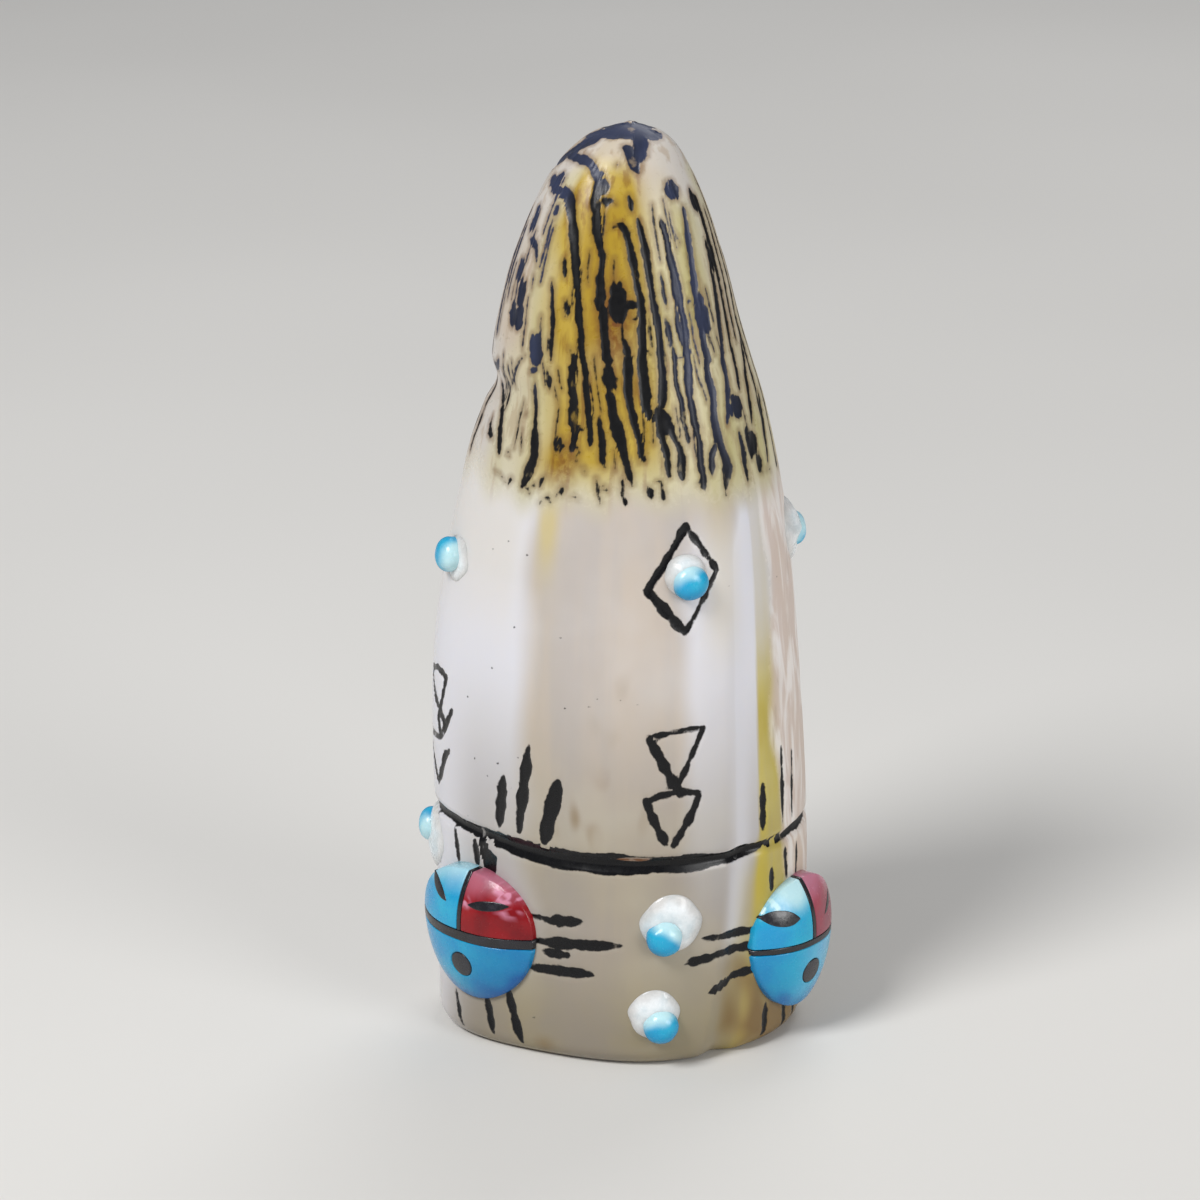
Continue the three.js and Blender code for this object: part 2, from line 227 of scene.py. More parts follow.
def apart(turn, other):
    """Degrees between two turns, the short way round."""
    return (turn - other + 540) % 360 - 180


def waves(values, seed, slow, count=5):
    """Smooth repeatable wobble between about -1 and 1."""
    random = np.random.default_rng(seed)
    total = 0 * values
    for _ in range(count):
        total = total + np.sin(values * slow * random.uniform(0.6, 2.2) + random.uniform(0, 2 * pi))
    return total / count ** 0.5 / 1.3


def grain(points, scale, seed):
    """Smooth noise in space at each point, about -1 to 1."""
    return np.array([noise.noise(Vector(point) * scale + Vector((seed, -seed, 2 * seed)))
                     for point in points]) * 1.6


def run_along(places):
    """Distance from the first of some places to each, through all between."""
    steps = np.linalg.norm(np.diff(places, axis=0), axis=1)
    return np.concatenate([[0], np.cumsum(steps)])


def circle(columns):
    """Right and up of points spaced evenly round a circle of radius 1."""
    around = np.arange(columns) / columns * 2 * pi
    return np.column_stack([np.cos(around), np.sin(around)])


class BodyShape:
    """Surface of the body, fitted to the width, depth and height of its solid."""

    def __init__(self, height, width, depth):
        self.height = height
        self.width = width
        self.depth = depth
        self.levels = np.linspace(0, len(STATIONS) - 1, LEVEL_STEPS)
        self.heights = np.maximum.accumulate(self.station(self.levels)[:, 0]) * height
        self.marks = np.linspace(0, height, HEIGHT_STEPS)
        turns = np.radians(np.arange(360.0))
        across, along = self.flats(turns[None] + 0 * self.marks[:, None],
                                   self.marks[:, None] + 0 * turns[None])
        self.limits = (across.max(1), -across.min(1), along.max(1), -along.min(1))

    def station(self, level):
        """Smooth curve through the stations, at levels counted in stations."""
        last = len(STATIONS) - 1
        index = np.clip(np.floor(level).astype(int), 0, last - 1)
        part = (level - index)[..., None]
        before = STATIONS[np.clip(index - 1, 0, last)]
        start = STATIONS[index]
        end = STATIONS[index + 1]
        after = STATIONS[np.clip(index + 2, 0, last)]
        return 0.5 * (2 * start + (end - before) * part
                      + (2 * before - 5 * start + 4 * end - after) * part ** 2
                      + (3 * start - before - 3 * end + after) * part ** 3)

    def level_of(self, height):
        """Level in stations at a height."""
        return np.interp(height, self.heights, self.levels)

    def flats(self, turn, height):
        """Section with its soft flats, as shares across and along."""
        part = np.clip(height / BAND_HEIGHT, 0, 1)[..., None]
        faded = np.clip((height - FLATS_FADE_FROM) / (FLATS_FADE_TO - FLATS_FADE_FROM), 0, 1)
        faces = np.radians(FLATS[:, 0] + (FLATS[:, 2] - FLATS[:, 0]) * part)
        reach = FLATS[:, 1] + (FLATS[:, 3] - FLATS[:, 1]) * part
        reach = reach + (1 - reach) * faded[..., None]
        lean = np.clip(np.cos(turn[..., None] - faces) / reach, 0, None)
        edge = (lean ** FLAT_SHARPNESS).sum(-1) ** (-1 / FLAT_SHARPNESS)
        return np.sin(turn) * edge, -np.cos(turn) * edge

    def seam_turn(self, height):
        """Turn of the seam in the right flank at a height."""
        return SEAM_FOOT_TURN + (SEAM_TOP_TURN - SEAM_FOOT_TURN) * np.sqrt(
            np.clip(height / SEAM_TOP, 0, 1))

    def carved(self, turn, height):
        """How far the foot edge, band groove, seam and crease go in."""
        above = np.clip(FOOT_ROUND - height, 0, FOOT_ROUND)
        foot = FOOT_ROUND - np.sqrt(FOOT_ROUND ** 2 - above ** 2)
        band = BAND_DEPTH * hump(height - BAND_HEIGHT, BAND_WIDTH / 2)
        degrees = np.degrees(turn)
        share = np.clip(height / SEAM_TOP, 0, 1)
        seam = SEAM_DEPTH * (1 - share) * hump(apart(degrees, self.seam_turn(height)),
                                               SEAM_SPREAD)
        crease = (CREASE_DEPTH * hump(apart(degrees, CREASE_TURN), CREASE_SPREAD)
                  * hump(height - CREASE_HEIGHT, CREASE_WIDTH / 2))
        return foot + band + seam + crease

    def at(self, turn, level):
        """Points in millimetres at turns in radians and levels counted in stations."""
        station = self.station(level)
        height = station[..., 0] * self.height
        half_width = (station[..., 1] + station[..., 2]) / 2 * self.width / 2
        half_depth = station[..., 3] * self.depth / 2
        shift = (station[..., 2] - station[..., 1]) / 2 * self.width / 2
        across, along = self.flats(turn, height)
        right, left, back, front = (np.interp(height, self.marks, limit)
                                    for limit in self.limits)
        x = across / np.where(across > 0, right, left) * half_width
        y = along / np.where(along > 0, back, front) * half_depth
        length = np.maximum(np.hypot(x, y), 1e-9)
        kept = 1 - np.minimum(self.carved(turn, height) / length, 1)
        return np.stack([shift + x * kept, y * kept, height + 0 * x], -1)

    def on(self, turn, height):
        """Points at turns in degrees and heights in millimetres."""
        turn = np.asarray(turn, float)
        height = np.asarray(height, float) + 0 * turn
        return self.at(np.radians(turn), self.level_of(height))

    def seat(self, turn, height):
        """Point, and outward normal, at one turn in degrees and height."""
        near = self.height / 100
        point = self.on(turn, height)
        along = self.on(turn + 2, height) - self.on(turn - 2, height)
        up = self.on(turn, height + near) - self.on(turn, height - near)
        normal = np.cross(along, up)
        return point, normal / np.linalg.norm(normal)


def axes_at(outward):
    """Right, up and outward directions of a stone set facing outward."""
    outward = np.asarray(outward, float)
    right = np.cross((0, 0, 1), outward)
    right /= np.linalg.norm(right)
    return np.array([right, np.cross(outward, right), outward])


def body_shape():
    """Surface of the size set in the panel."""
    size = bpy.context.scene.carving_body
    return BodyShape(size.height / MM, size.width / MM, size.depth / MM)


def add_object(name, data):
    """New object in the scene that holds a mesh, light or camera."""
    thing = bpy.data.objects.new(name, data)
    bpy.context.scene.collection.objects.link(thing)
    return thing


def add_mesh(name, points, faces, body="root"):
    """Closed mesh object from points in millimetres; it rides on the carving."""
    mesh = bpy.data.meshes.new(name)
    mesh.from_pydata((np.asarray(points) * MM).tolist(), [], faces)
    mesh.update()
    work = bmesh.new()
    work.from_mesh(mesh)
    bmesh.ops.recalc_face_normals(work, faces=work.faces)
    work.to_mesh(mesh)
    work.free()
    mesh.polygons.foreach_set("use_smooth", [True] * len(mesh.polygons))
    thing = add_object(name, mesh)
    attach(thing, body)
    return thing


def add_values(thing, name, values):
    """Stores one number per point, for the material."""
    layer = thing.data.attributes.new(name, "FLOAT", "POINT")
    layer.data.foreach_set("value", np.asarray(values, np.float32))


def neighbours(columns):
    """Each column of a closed ring with the one beside it."""
    return [(column, (column + 1) % columns) for column in range(columns)]


def ring_faces(rows, columns, closed=True):
    """Faces of rows of points closed round, with one end point below and one above."""
    pairs = neighbours(columns)
    faces = []
    for low in range(0, (rows - 1) * columns, columns):
        high = low + columns
        faces += [(low + column, low + beside, high + beside, high + column)
                  for column, beside in pairs]
    if closed:
        top = (rows - 1) * columns
        under = rows * columns
        faces += [(under, beside, column) for column, beside in pairs]
        faces += [(under + 1, top + column, top + beside) for column, beside in pairs]
    return faces


class Ink:
    """Collects the black lines on the body as close points with a half width each."""

    def __init__(self, shape):
        self.shape = shape
        self.points = []
        self.halves = []

    def line(self, path, width, ends=0.35, rough=0.12, seed=0):
        """Line through (turn, height) corners; ends taper to a share of the width."""
        path = np.array(path, float)
        corners = self.shape.on(path[:, 0], path[:, 1])
        marks = run_along(corners)
        length = max(marks[-1], 0.1)
        along = np.linspace(0, 1, max(int(length / LINE_STEP), 3))
        marks = marks / length
        turn = np.interp(along, marks, path[:, 0])
        height = np.interp(along, marks, path[:, 1])
        taper = np.minimum(along, 1 - along) * length / max(width, 0.3)
        shape = ends + (1 - ends) * clipped(taper) ** 0.6
        swell = 1 + rough * waves(along * length, seed + 5, 3.1)
        self.points.append(self.shape.on(turn, height))
        self.halves.append(np.maximum(width / 2 * shape * swell, 0.04))

    def strand(self, corners, seed=0):
        """Soft curved line through (turn, height, width) corners."""
        corners = np.array(corners, float)
        marks = run_along(self.shape.on(corners[:, 0], corners[:, 1]))
        along = np.linspace(0, marks[-1], max(int(marks[-1] / LINE_STEP), 4))
        curve = [np.interp(along, marks, values) for values in corners.T]
        turn, height, width = [np.convolve(np.pad(values, 4, mode="edge"), np.ones(9) / 9, "valid")
                               for values in curve]
        close = clipped(np.minimum(along, marks[-1] - along) / 0.5) ** 0.5
        close = close * (1 - 0.35 * hump(apart(turn, 78), 32))
        swell = 1 + 0.16 * waves(along, seed, 1.9) + 0.10 * waves(along, seed + 1, 7)
        self.points.append(self.shape.on(turn + 0.35 * waves(along, seed + 2, 1.5), height))
        self.halves.append(np.maximum(width / 2 * close * swell, 0.03))

    def leaf(self, low, high, width, seed=0):
        """Spindle-shaped stroke, widest in the middle."""
        turn = np.linspace(low[0], high[0], LEAF_STEPS)
        height = np.linspace(low[1], high[1], LEAF_STEPS)
        along = np.linspace(0, 1, LEAF_STEPS)
        swell = np.sin(pi * along) ** 0.42 * (1 + 0.2 * waves(along, seed, 11))
        self.points.append(self.shape.on(turn, height))
        self.halves.append(np.maximum(width / 2 * swell, 0.03))

    def depths(self, points):
        """Distance of each point outside the nearest line edge; inside is negative."""
        samples = np.concatenate(self.points)
        halves = np.concatenate(self.halves)
        tree = KDTree(len(samples))
        for index, sample in enumerate(samples):
            tree.insert(sample, index)
        tree.balance()
        out = np.empty(len(points))
        for index, point in enumerate(points):
            out[index] = min(found[2] - halves[found[1]] for found in tree.find_n(point, 4))
        return out


# Figures drawn in lines: turn and height of each corner, and the line's width
DIAMOND_CORNERS = ((21.7, 34.3), (9.0, 30.6), (21.0, 27.9), (32.5, 31.5))
DIAMOND_WIDTHS = (0.50, 0.62, 0.34, 0.42)
DIAMOND = [((DIAMOND_CORNERS[side], DIAMOND_CORNERS[(side + 1) % 4]), width)
           for side, width in enumerate(DIAMOND_WIDTHS)]
FRONT_HOURGLASS = (
    ([(9.5, 21.6), (18.0, 21.9), (26.2, 22.0)], 0.34),
    ([(9.5, 21.6), (13.5, 19.9), (18.3, 17.9)], 0.62),
    ([(26.2, 22.0), (21.8, 20.2), (17.8, 18.6), (17.6, 18.0)], 0.36),
    ([(8.0, 17.6), (13.0, 17.95), (18.5, 18.15), (24.0, 17.9)], 0.44),
    ([(8.0, 17.7), (10.5, 16.2), (13.3, 14.9)], 0.54),
    ([(24.0, 17.8), (20.5, 16.3), (15.6, 14.7)], 0.50),
)
LEFT_HOURGLASS = (
    ([(-100.0, 22.3), (-90.0, 22.8), (-81.0, 22.6), (-84.0, 21.1)], 0.44),
    ([(-100.0, 22.3), (-90.5, 20.6), (-80.5, 19.5)], 0.50),
    ([(-76.0, 20.6), (-81.0, 19.4), (-85.5, 18.4)], 0.48),
    ([(-84.0, 21.1), (-88.0, 19.6), (-85.5, 18.4), (-102.0, 18.1)], 0.42),
    ([(-78.0, 17.9), (-81.5, 17.5), (-85.0, 16.4), (-89.5, 15.2)], 0.52),
    ([(-102.0, 18.1), (-95.5, 16.6), (-89.5, 15.2)], 0.50),
)
# Each figure with how far it is shifted round the body, its line ends and its seed
FIGURES = (
    (DIAMOND, 0, 0.8, 20), (DIAMOND, 171, 0.8, 20), (FRONT_HOURGLASS, 0, 0.7, 40),
    (LEFT_HOURGLASS, 0, 0.7, 60), (LEFT_HOURGLASS, -92, 0.7, 60),
)


def draw_figures(ink):
    """Diamonds and hourglasses."""
    for figure, shift, ends, seed in FIGURES:
        for index, (path, width) in enumerate(figure):
            path = [(turn + shift, height) for turn, height in path]
            ink.line(path, width, ends=ends, rough=0.25, seed=seed + index)


def draw_leaves(ink):
    """Feather-like strokes that stand on the band."""
    for turn, low, high, lean, width in (
        (-46.2, 14.4, 17.9, 4.0, 0.92), (-35.7, 14.4, 20.4, 6.2, 0.90),
        (-24.7, 14.2, 18.5, 6.6, 1.12), (47.8, 14.4, 17.6, 0.9, 0.52),
        (59.3, 14.3, 19.4, 1.0, 0.40), (66.8, 14.3, 18.8, 1.7, 0.34),
        (131, 14.3, 18.2, 3.0, 0.8), (141, 14.3, 20.0, 3.0, 0.9), (151, 14.3, 18.0, 3.0, 0.8),
    ):
        ink.leaf((turn, low), (turn + lean, high), width, seed=int(turn) + 400)


def draw_rays(ink):
    """Feather strokes round the two sun faces, three to a side."""
    strokes = (
        ((-92.5, 13.0), (-88.0, 9.9), 0.60), ((-76.0, 13.0), (-72.0, 10.8), 0.48),
        ((-57.5, 13.2), (-51.5, 11.0), 1.50), ((-62.0, 12.9), (-60.0, 11.2), 0.6),
        ((-33.5, 9.2), (-23.0, 9.2), 0.36), ((-27.5, 9.1), (-12.5, 9.5), 0.76),
        ((-32.0, 7.6), (0.5, 8.2), 0.78), ((-28.5, 7.0), (-17.5, 7.1), 0.66),
        ((-34.5, 5.8), (-8.5, 6.1), 0.74),
        ((-68.8, 2.9), (-63.0, 0.5), 0.36), ((-53.5, 3.4), (-49.2, 0.8), 0.56),
        ((-44.4, 4.2), (-37.5, 0.6), 0.66),
        ((-98.0, 8.6), (-116.0, 9.0), 0.5), ((-98.0, 6.8), (-121.0, 7.2), 0.6),
        ((-97.0, 5.0), (-114.0, 4.8), 0.5),
        ((52.0, 11.9), (52.8, 10.3), 0.50), ((60.2, 12.9), (62.0, 10.6), 0.42),
        ((70.5, 12.6), (69.5, 10.3), 0.36),
        ((24.5, 8.4), (49.0, 8.0), 0.56), ((19.5, 6.9), (30.0, 7.1), 0.66),
        ((28.0, 7.2), (49.0, 7.0), 0.62), ((28.5, 4.7), (38.0, 5.1), 0.66),
        ((36.0, 5.2), (49.0, 5.6), 0.56),
        ((53.2, 2.9), (53.6, 0.6), 0.52), ((63.8, 2.4), (65.7, 0.5), 0.46),
        ((72.2, 2.2), (72.7, 0.6), 0.34),
        ((88.0, 8.4), (103.0, 8.7), 0.5), ((89.0, 6.6), (110.0, 6.9), 0.6),
        ((88.0, 4.8), (104.0, 4.6), 0.5),
    )
    for seed, (low, high, width) in enumerate(strokes):
        ink.leaf(low, high, width, seed=80 + seed)


def draw_band(ink):
    """Line round the body, thick at the front left and thin at the sides."""
    turn = np.linspace(-180, 180, 1200)
    wobble = 0.07 * waves(turn, 3, 0.09) + 0.04 * waves(turn, 4, 0.3)
    height = BAND_HEIGHT + wobble + 0.06 - 0.08 * hump(turn + 5, 30)
    width = 0.66 + 0.80 * hump(turn + 15, 72) + 0.13 * waves(turn, 6, 0.2)
    ink.points.append(ink.shape.on(turn, height))
    ink.halves.append(width / 2)


# Hair lines seen at the front: turn, height and width at each corner; the widths are
# made wider by HAIR_BOLDNESS
FRONT_HAIR = (
    ((-82, 55.1, 0.4), (-45, 55.1, 0.4), (-33, 55.0, 0.4), (-26, 54.6, 0.42), (-19, 54.2, 0.5)),
    ((-76, 53.8, 0.7), (-58, 53.4, 0.7), (-40, 53.1, 0.5), (-32, 52.0, 0.5), (-28, 51.0, 0.46),
     (-24, 49.8, 0.44), (-21.5, 48.5, 0.36), (-19.3, 47, 0.36), (-17.5, 45.6, 0.34),
     (-16.2, 44.4, 0.26), (-15.2, 43.4, 0.30), (-15.2, 41.4, 0.34), (-13, 38.9, 0.30)),
    ((-20.5, 44.3, 0.5), (-20.3, 43, 0.46), (-21.8, 42, 0.42), (-21.6, 40.5, 0.46),
     (-19.6, 38.5, 0.44)),
    ((-20, 40.2, 0.2), (-15.6, 39.8, 0.25)), ((-20, 39.2, 0.2), (-16.2, 38.5, 0.15)),
    ((-19.5, 53.3, 0.5), (-15, 52.2, 0.5), (-12, 51.0, 0.48), (-9.6, 50.0, 0.3),
     (-8.8, 49.0, 0.3), (-8.6, 47.9, 0.66), (-7.8, 46.8, 0.44), (-6, 45.4, 0.36),
     (-5, 44, 0.44), (-5, 43, 0.54), (-5.8, 42, 0.36), (-5, 41, 0.44), (-2.6, 39.8, 0.62),
     (0, 38.6, 0.34), (2, 37.6, 0.28), (3.8, 36.7, 0.24)),
    ((-16, 53.2, 0.3), (-8, 53.1, 0.2), (-2.5, 52.8, 0.14)),
    ((-13, 53.2, 0.5), (-8.5, 52.7, 0.3)), ((-8, 54.9, 0.14), (-6, 55, 0.12)),
    ((-36.5, 48.4, 0.14), (-34, 47.5, 0.18), (-32, 46.2, 0.24), (-31.5, 43.7, 0.16)),
    ((-31, 49.8, 0.26), (-28.2, 48.5, 0.20)), ((-26.2, 47.3, 0.34), (-24.2, 46.5, 0.24)),
    ((-32.6, 43, 0.3), (-33.2, 41.9, 0.26)), ((-30, 42.4, 0.1), (-29.2, 41.2, 0.12)),
    ((-27.5, 39.5, 0.2), (-25.6, 38.9, 0.42), (-23.2, 38.8, 0.24)),
    ((-45, 42.8, 0.3), (-38.4, 43.2, 0.36)),
    ((-41, 42.4, 0.2), (-42.4, 41.4, 0.24), (-40.6, 40.2, 0.20), (-38.8, 39, 0.36),
     (-37.0, 37.9, 0.55), (-38.2, 36.9, 0.5), (-42.4, 35.8, 0.26)),
    ((-64, 41.4, 0.18), (-57, 42.3, 0.14), (-52, 43.3, 0.14), (-47, 43.8, 0.1)),
    ((-88, 42.2, 0.3), (-78, 42.3, 0.34), (-73.6, 42.9, 0.4)),
    ((-78, 41.5, 0.3), (-72, 40.8, 0.24), (-66, 39.8, 0.3), (-62.4, 38.6, 0.4),
     (-60, 37.4, 0.34)),
    ((-76, 39.1, 0.2), (-70.6, 38.3, 0.34), (-66.4, 38.2, 0.16)),
    ((-49, 40.2, 0.22), (-45.6, 40.3, 0.16)), ((-47.8, 39.4, 0.12), (-44.6, 38, 0.12)),
    ((-50, 50.8, 0.3), (-47, 51.0, 0.12)), ((-68, 50.4, 0.4), (-56, 50, 0.3), (-50, 49, 0.14)),
    ((-10.6, 40.8, 0.26), (-9.2, 39.6, 0.30), (-7.6, 38.3, 0.32), (-5.8, 37.7, 0.26)),
    ((-5, 51.5, 0.16), (0, 51.8, 0.24), (3, 51.5, 0.30), (6, 50.5, 0.34), (9, 49, 0.34),
     (10.8, 47.5, 0.36), (11.4, 46, 0.42), (10.4, 44.5, 0.46), (9.8, 43.4, 0.48),
     (9, 42, 0.52), (9.2, 40.9, 0.56), (12, 40.7, 0.50), (16, 40.5, 0.66), (18.4, 40, 0.34),
     (20.6, 39, 0.24), (21.5, 38, 0.40), (22, 36.9, 0.30)),
    ((13, 40.4, 0.5), (14.6, 39.2, 0.40), (16, 38, 0.30), (17.2, 37.1, 0.26)),
    ((11, 52.1, 0.24), (13.4, 51.2, 0.36), (15.2, 50, 0.34), (16.4, 48.4, 0.30),
     (17.8, 47, 0.34), (18.6, 45.6, 0.40), (18.4, 44, 0.34), (17.2, 42.6, 0.36),
     (15, 41.2, 0.5)),
    ((5.2, 53.4, 0.2), (6.6, 52.9, 0.3), (8.2, 52.3, 0.24)), ((5, 44.3, 0.2), (7.2, 44.2, 0.12)),
    ((2.4, 47.3, 0.5), (8, 47.2, 0.34), (11, 47.1, 0.2)), ((5.6, 46.5, 0.2), (10, 46.2, 0.16)),
    ((2.2, 45.3, 0.2), (3.4, 44.4, 0.44), (3.8, 43.5, 0.44), (2.4, 42.5, 0.42),
     (2.2, 41.6, 0.38), (3.8, 40.2, 0.36), (5.6, 39.1, 0.36), (8.2, 38.1, 0.34)),
    ((-4, 43, 0.2), (0.8, 42.8, 0.22)), ((10.4, 44.6, 0.3), (14.6, 44.3, 0.16)),
    ((22.6, 49, 0.10), (23.2, 47.8, 0.18), (23.8, 46.8, 0.12)),
    ((23.6, 46.2, 0.2), (24.5, 45, 0.26), (24.2, 43.4, 0.22), (23, 42, 0.2),
     (23.4, 41, 0.28), (24.6, 38.9, 0.20)),
    ((26.2, 52, 0.3), (28.4, 51.3, 0.44), (28.6, 50, 0.38), (30, 48.8, 0.44),
     (31.4, 47.2, 0.52), (31.8, 45.8, 0.60), (31.4, 44.2, 0.54), (29.6, 43, 0.42),
     (27.8, 41.4, 0.40), (28.4, 40, 0.42), (29.2, 38.6, 0.38), (29.8, 37.2, 0.34),
     (29.2, 36.3, 0.44)),
    ((25.4, 44, 0.12), (30, 44, 0.2)), ((33, 51.6, 0.10), (37.6, 50.4, 0.10)),
    ((35, 47.3, 0.2), (40.6, 46.8, 0.12)), ((20, 45, 0.1), (23, 44.8, 0.1)),
    ((47.6, 52.5, 0.2), (45.8, 51.2, 0.32), (44.4, 50, 0.38), (42.8, 48.7, 0.44),
     (42.4, 47.2, 0.4), (42.6, 45.4, 0.42), (42, 44, 0.48), (40.2, 42.6, 0.40),
     (39, 41.4, 0.40), (37.6, 40.4, 0.42), (38, 39.4, 0.46), (40.4, 38.4, 0.44),
     (41.6, 37.2, 0.50), (39.2, 36, 0.34)),
    ((37.6, 38.9, 0.3), (34.6, 38.4, 0.34), (33.2, 37, 0.34)),
    ((61, 49, 0.3), (59.6, 47.2, 0.34), (57, 45.6, 0.4), (54.6, 44.2, 0.3),
     (52, 43, 0.36), (49.6, 41.8, 0.3), (46.6, 40.4, 0.3), (44.2, 39.7, 0.14)),
    ((67, 53, 0.5), (67.6, 50.5, 0.4), (67, 48.4, 0.36), (65.8, 46.6, 0.3),
     (64, 44.6, 0.3), (61, 42.6, 0.26), (58.4, 41.4, 0.26)),
    ((80, 44.6, 0.3), (74, 43.2, 0.34), (68, 41.8, 0.38), (64.4, 40.4, 0.34),
     (62.4, 39.2, 0.28)),
    ((80, 41, 0.3), (75, 39, 0.34), (71.2, 36.6, 0.24)),
    ((51.4, 39.3, 0.3), (52.3, 38.2, 0.36), (51.8, 37.2, 0.26), (52.6, 35.9, 0.12)),
    ((-6, 55.9, 0.4), (2, 55.8, 0.5), (8, 55.2, 0.56), (13.4, 54.5, 0.4)),
    ((72, 36.8, 0.25), (76, 41, 0.30), (81, 46, 0.30), (85, 51, 0.25), (88, 54, 0.18)),
    ((70.6, 44, 0.22), (74, 48, 0.27), (77, 52, 0.22)),
    ((-90, 36.6, 0.25), (-88, 40, 0.30), (-92, 44, 0.27), (-97, 49, 0.22), (-101, 53, 0.18)),
    ((-83, 44, 0.22), (-86, 48, 0.30), (-90, 52, 0.25)), ((-79, 47, 0.18), (-83, 51, 0.25)),
    ((-100, 36.2, 0.22), (-97, 38.6, 0.27), (-99, 42, 0.25), (-103, 46, 0.20)),
    ((22, 56.6, 0.67), (17, 56.0, 0.60), (12, 55.0, 0.52)),
    ((-125, 53.2, 0.30), (-104, 54.0, 0.52), (-88, 54.8, 0.67), (-70, 55.7, 0.67),
     (-50, 56.3, 0.67)),
    ((-100, 56.1, 0.6), (-60, 56.4, 0.7), (-20, 56.6, 0.9), (30, 56.5, 0.9), (80, 56.3, 0.6)),
)
HAIR_BOLDNESS = 1.35

# Blots on the hair: turn, top, foot and width
BLOTS = (
    (-15, 54.7, 53.0, 1.3), (-40, 45.5, 43.3, 1.15), (-59, 46.6, 45.2, 1.9),
    (-57, 48.2, 46.4, 1.0), (2.4, 48.7, 46.1, 1.35), (45.4, 47.6, 45.0, 1.2),
    (53, 41.4, 40.0, 1.5), (60, 39.2, 37.4, 1.1), (64, 37.8, 36.2, 0.6), (42, 54.0, 52.9, 1.1),
    (62, 53.3, 51.9, 0.9), (64, 50.6, 48.2, 0.7), (-8.4, 49.0, 46.8, 0.75), (31.6, 47.0, 44.6, 0.7),
    (-70, 52.2, 50.6, 0.9), (-62, 54.2, 53.0, 1.2), (-66, 49.2, 47.8, 0.8), (-47, 52.6, 51.9, 0.5),
    (14.5, 41.5, 39.7, 1.3), (-4.6, 43.8, 42.2, 0.7), (-26, 39.4, 38.4, 0.5),
    (23.8, 46.4, 44.6, 0.34), (-24.8, 47.4, 46.4, 0.36),
    (120, 46.0, 43.6, 1.3), (170, 49.0, 46.5, 1.2), (-150, 44.5, 42.8, 1.4),
    (-110, 50.0, 48.0, 1.1), (150, 40.5, 39.0, 1.6), (104, 38.6, 37.0, 1.0),
)

# Small scribbles at the foot of the hair: turn and height of both ends, and width
SCRIBBLES = (
    (-61, 36.4, -52, 36.0, 0.12), (-50, 35.9, -48, 36.3, 0.26), (-54, 37.7, -51.6, 37.6, 0.16),
    (-40.6, 36.0, -37.0, 35.7, 0.20), (-36.6, 36.1, -32.4, 36.3, 0.16),
    (-32.4, 36.2, -30.2, 36.9, 0.26), (-31.6, 35.2, -30.2, 35.3, 0.14),
    (-29, 35.6, -26.4, 35.4, 0.22), (-24.6, 35.8, -22.8, 36.0, 0.12),
    (-22.4, 36.0, -21.6, 36.4, 0.26), (-18.4, 35.9, -15.4, 35.8, 0.12),
    (-18.6, 38.2, -17.4, 38.0, 0.24), (-15.4, 37.8, -13.6, 37.4, 0.14),
    (-9.4, 37.2, -8.6, 36.4, 0.20), (-7.6, 36.6, -5.0, 36.4, 0.24), (-8.4, 36.2, -7.4, 35.7, 0.16),
    (0.0, 37.1, 0.3, 36.2, 0.22), (0.3, 36.2, 1.5, 35.6, 0.18), (9.0, 36.7, 10.4, 36.1, 0.40),
    (12.2, 37.0, 14.0, 36.8, 0.16), (13.8, 36.8, 14.6, 35.9, 0.26), (27.6, 36.7, 30.0, 36.3, 0.3),
    (38.8, 36.2, 39.3, 35.7, 0.24), (68, 36.3, 73, 36.1, 0.12), (55.6, 38.6, 58, 38.0, 0.3),
)
BLOT_LEAVES = 8
# Number, first turn and span of the hair lines that are spread by chance
FINE_HAIR = 66
FINE_HAIR_TURN = -78
FINE_HAIR_SPAN = 144
SIDE_HAIR = 23
SIDE_HAIR_TURN = 84
SIDE_HAIR_SPAN = 182
SIDE_TWIST = 13.0


def draw_front_hair(ink):
    """Hair lines and scribbles seen at the front."""
    for seed, corners in enumerate(FRONT_HAIR):
        ink.strand(np.array(corners) * (1, 1, HAIR_BOLDNESS), 900 + 3 * seed)
    for seed, (turn, height, end_turn, end_height, width) in enumerate(SCRIBBLES):
        middle = ((turn + end_turn) / 2, (height + end_height) / 2 + 0.15)
        ink.line([(turn, height), middle, (end_turn, end_height)], width, ends=0.5, rough=0.4,
                 seed=600 + seed)


def draw_fine_hair(ink, random):
    """Short thin strokes between the hair lines at the front."""
    for index in range(FINE_HAIR):
        turn = FINE_HAIR_TURN + FINE_HAIR_SPAN / FINE_HAIR * index + random.uniform(-2, 2)
        start = random.uniform(37.2, 51)
        end = start + random.uniform(1.0, 3.6)
        lean = 0.6 * (37 - start) + random.uniform(-2, 2)
        width = random.uniform(0.10, 0.22 if turn < -24 else 0.13)
        ink.strand([(turn + lean, start, width), (turn + lean - 1, end, width)], 1200 + index)


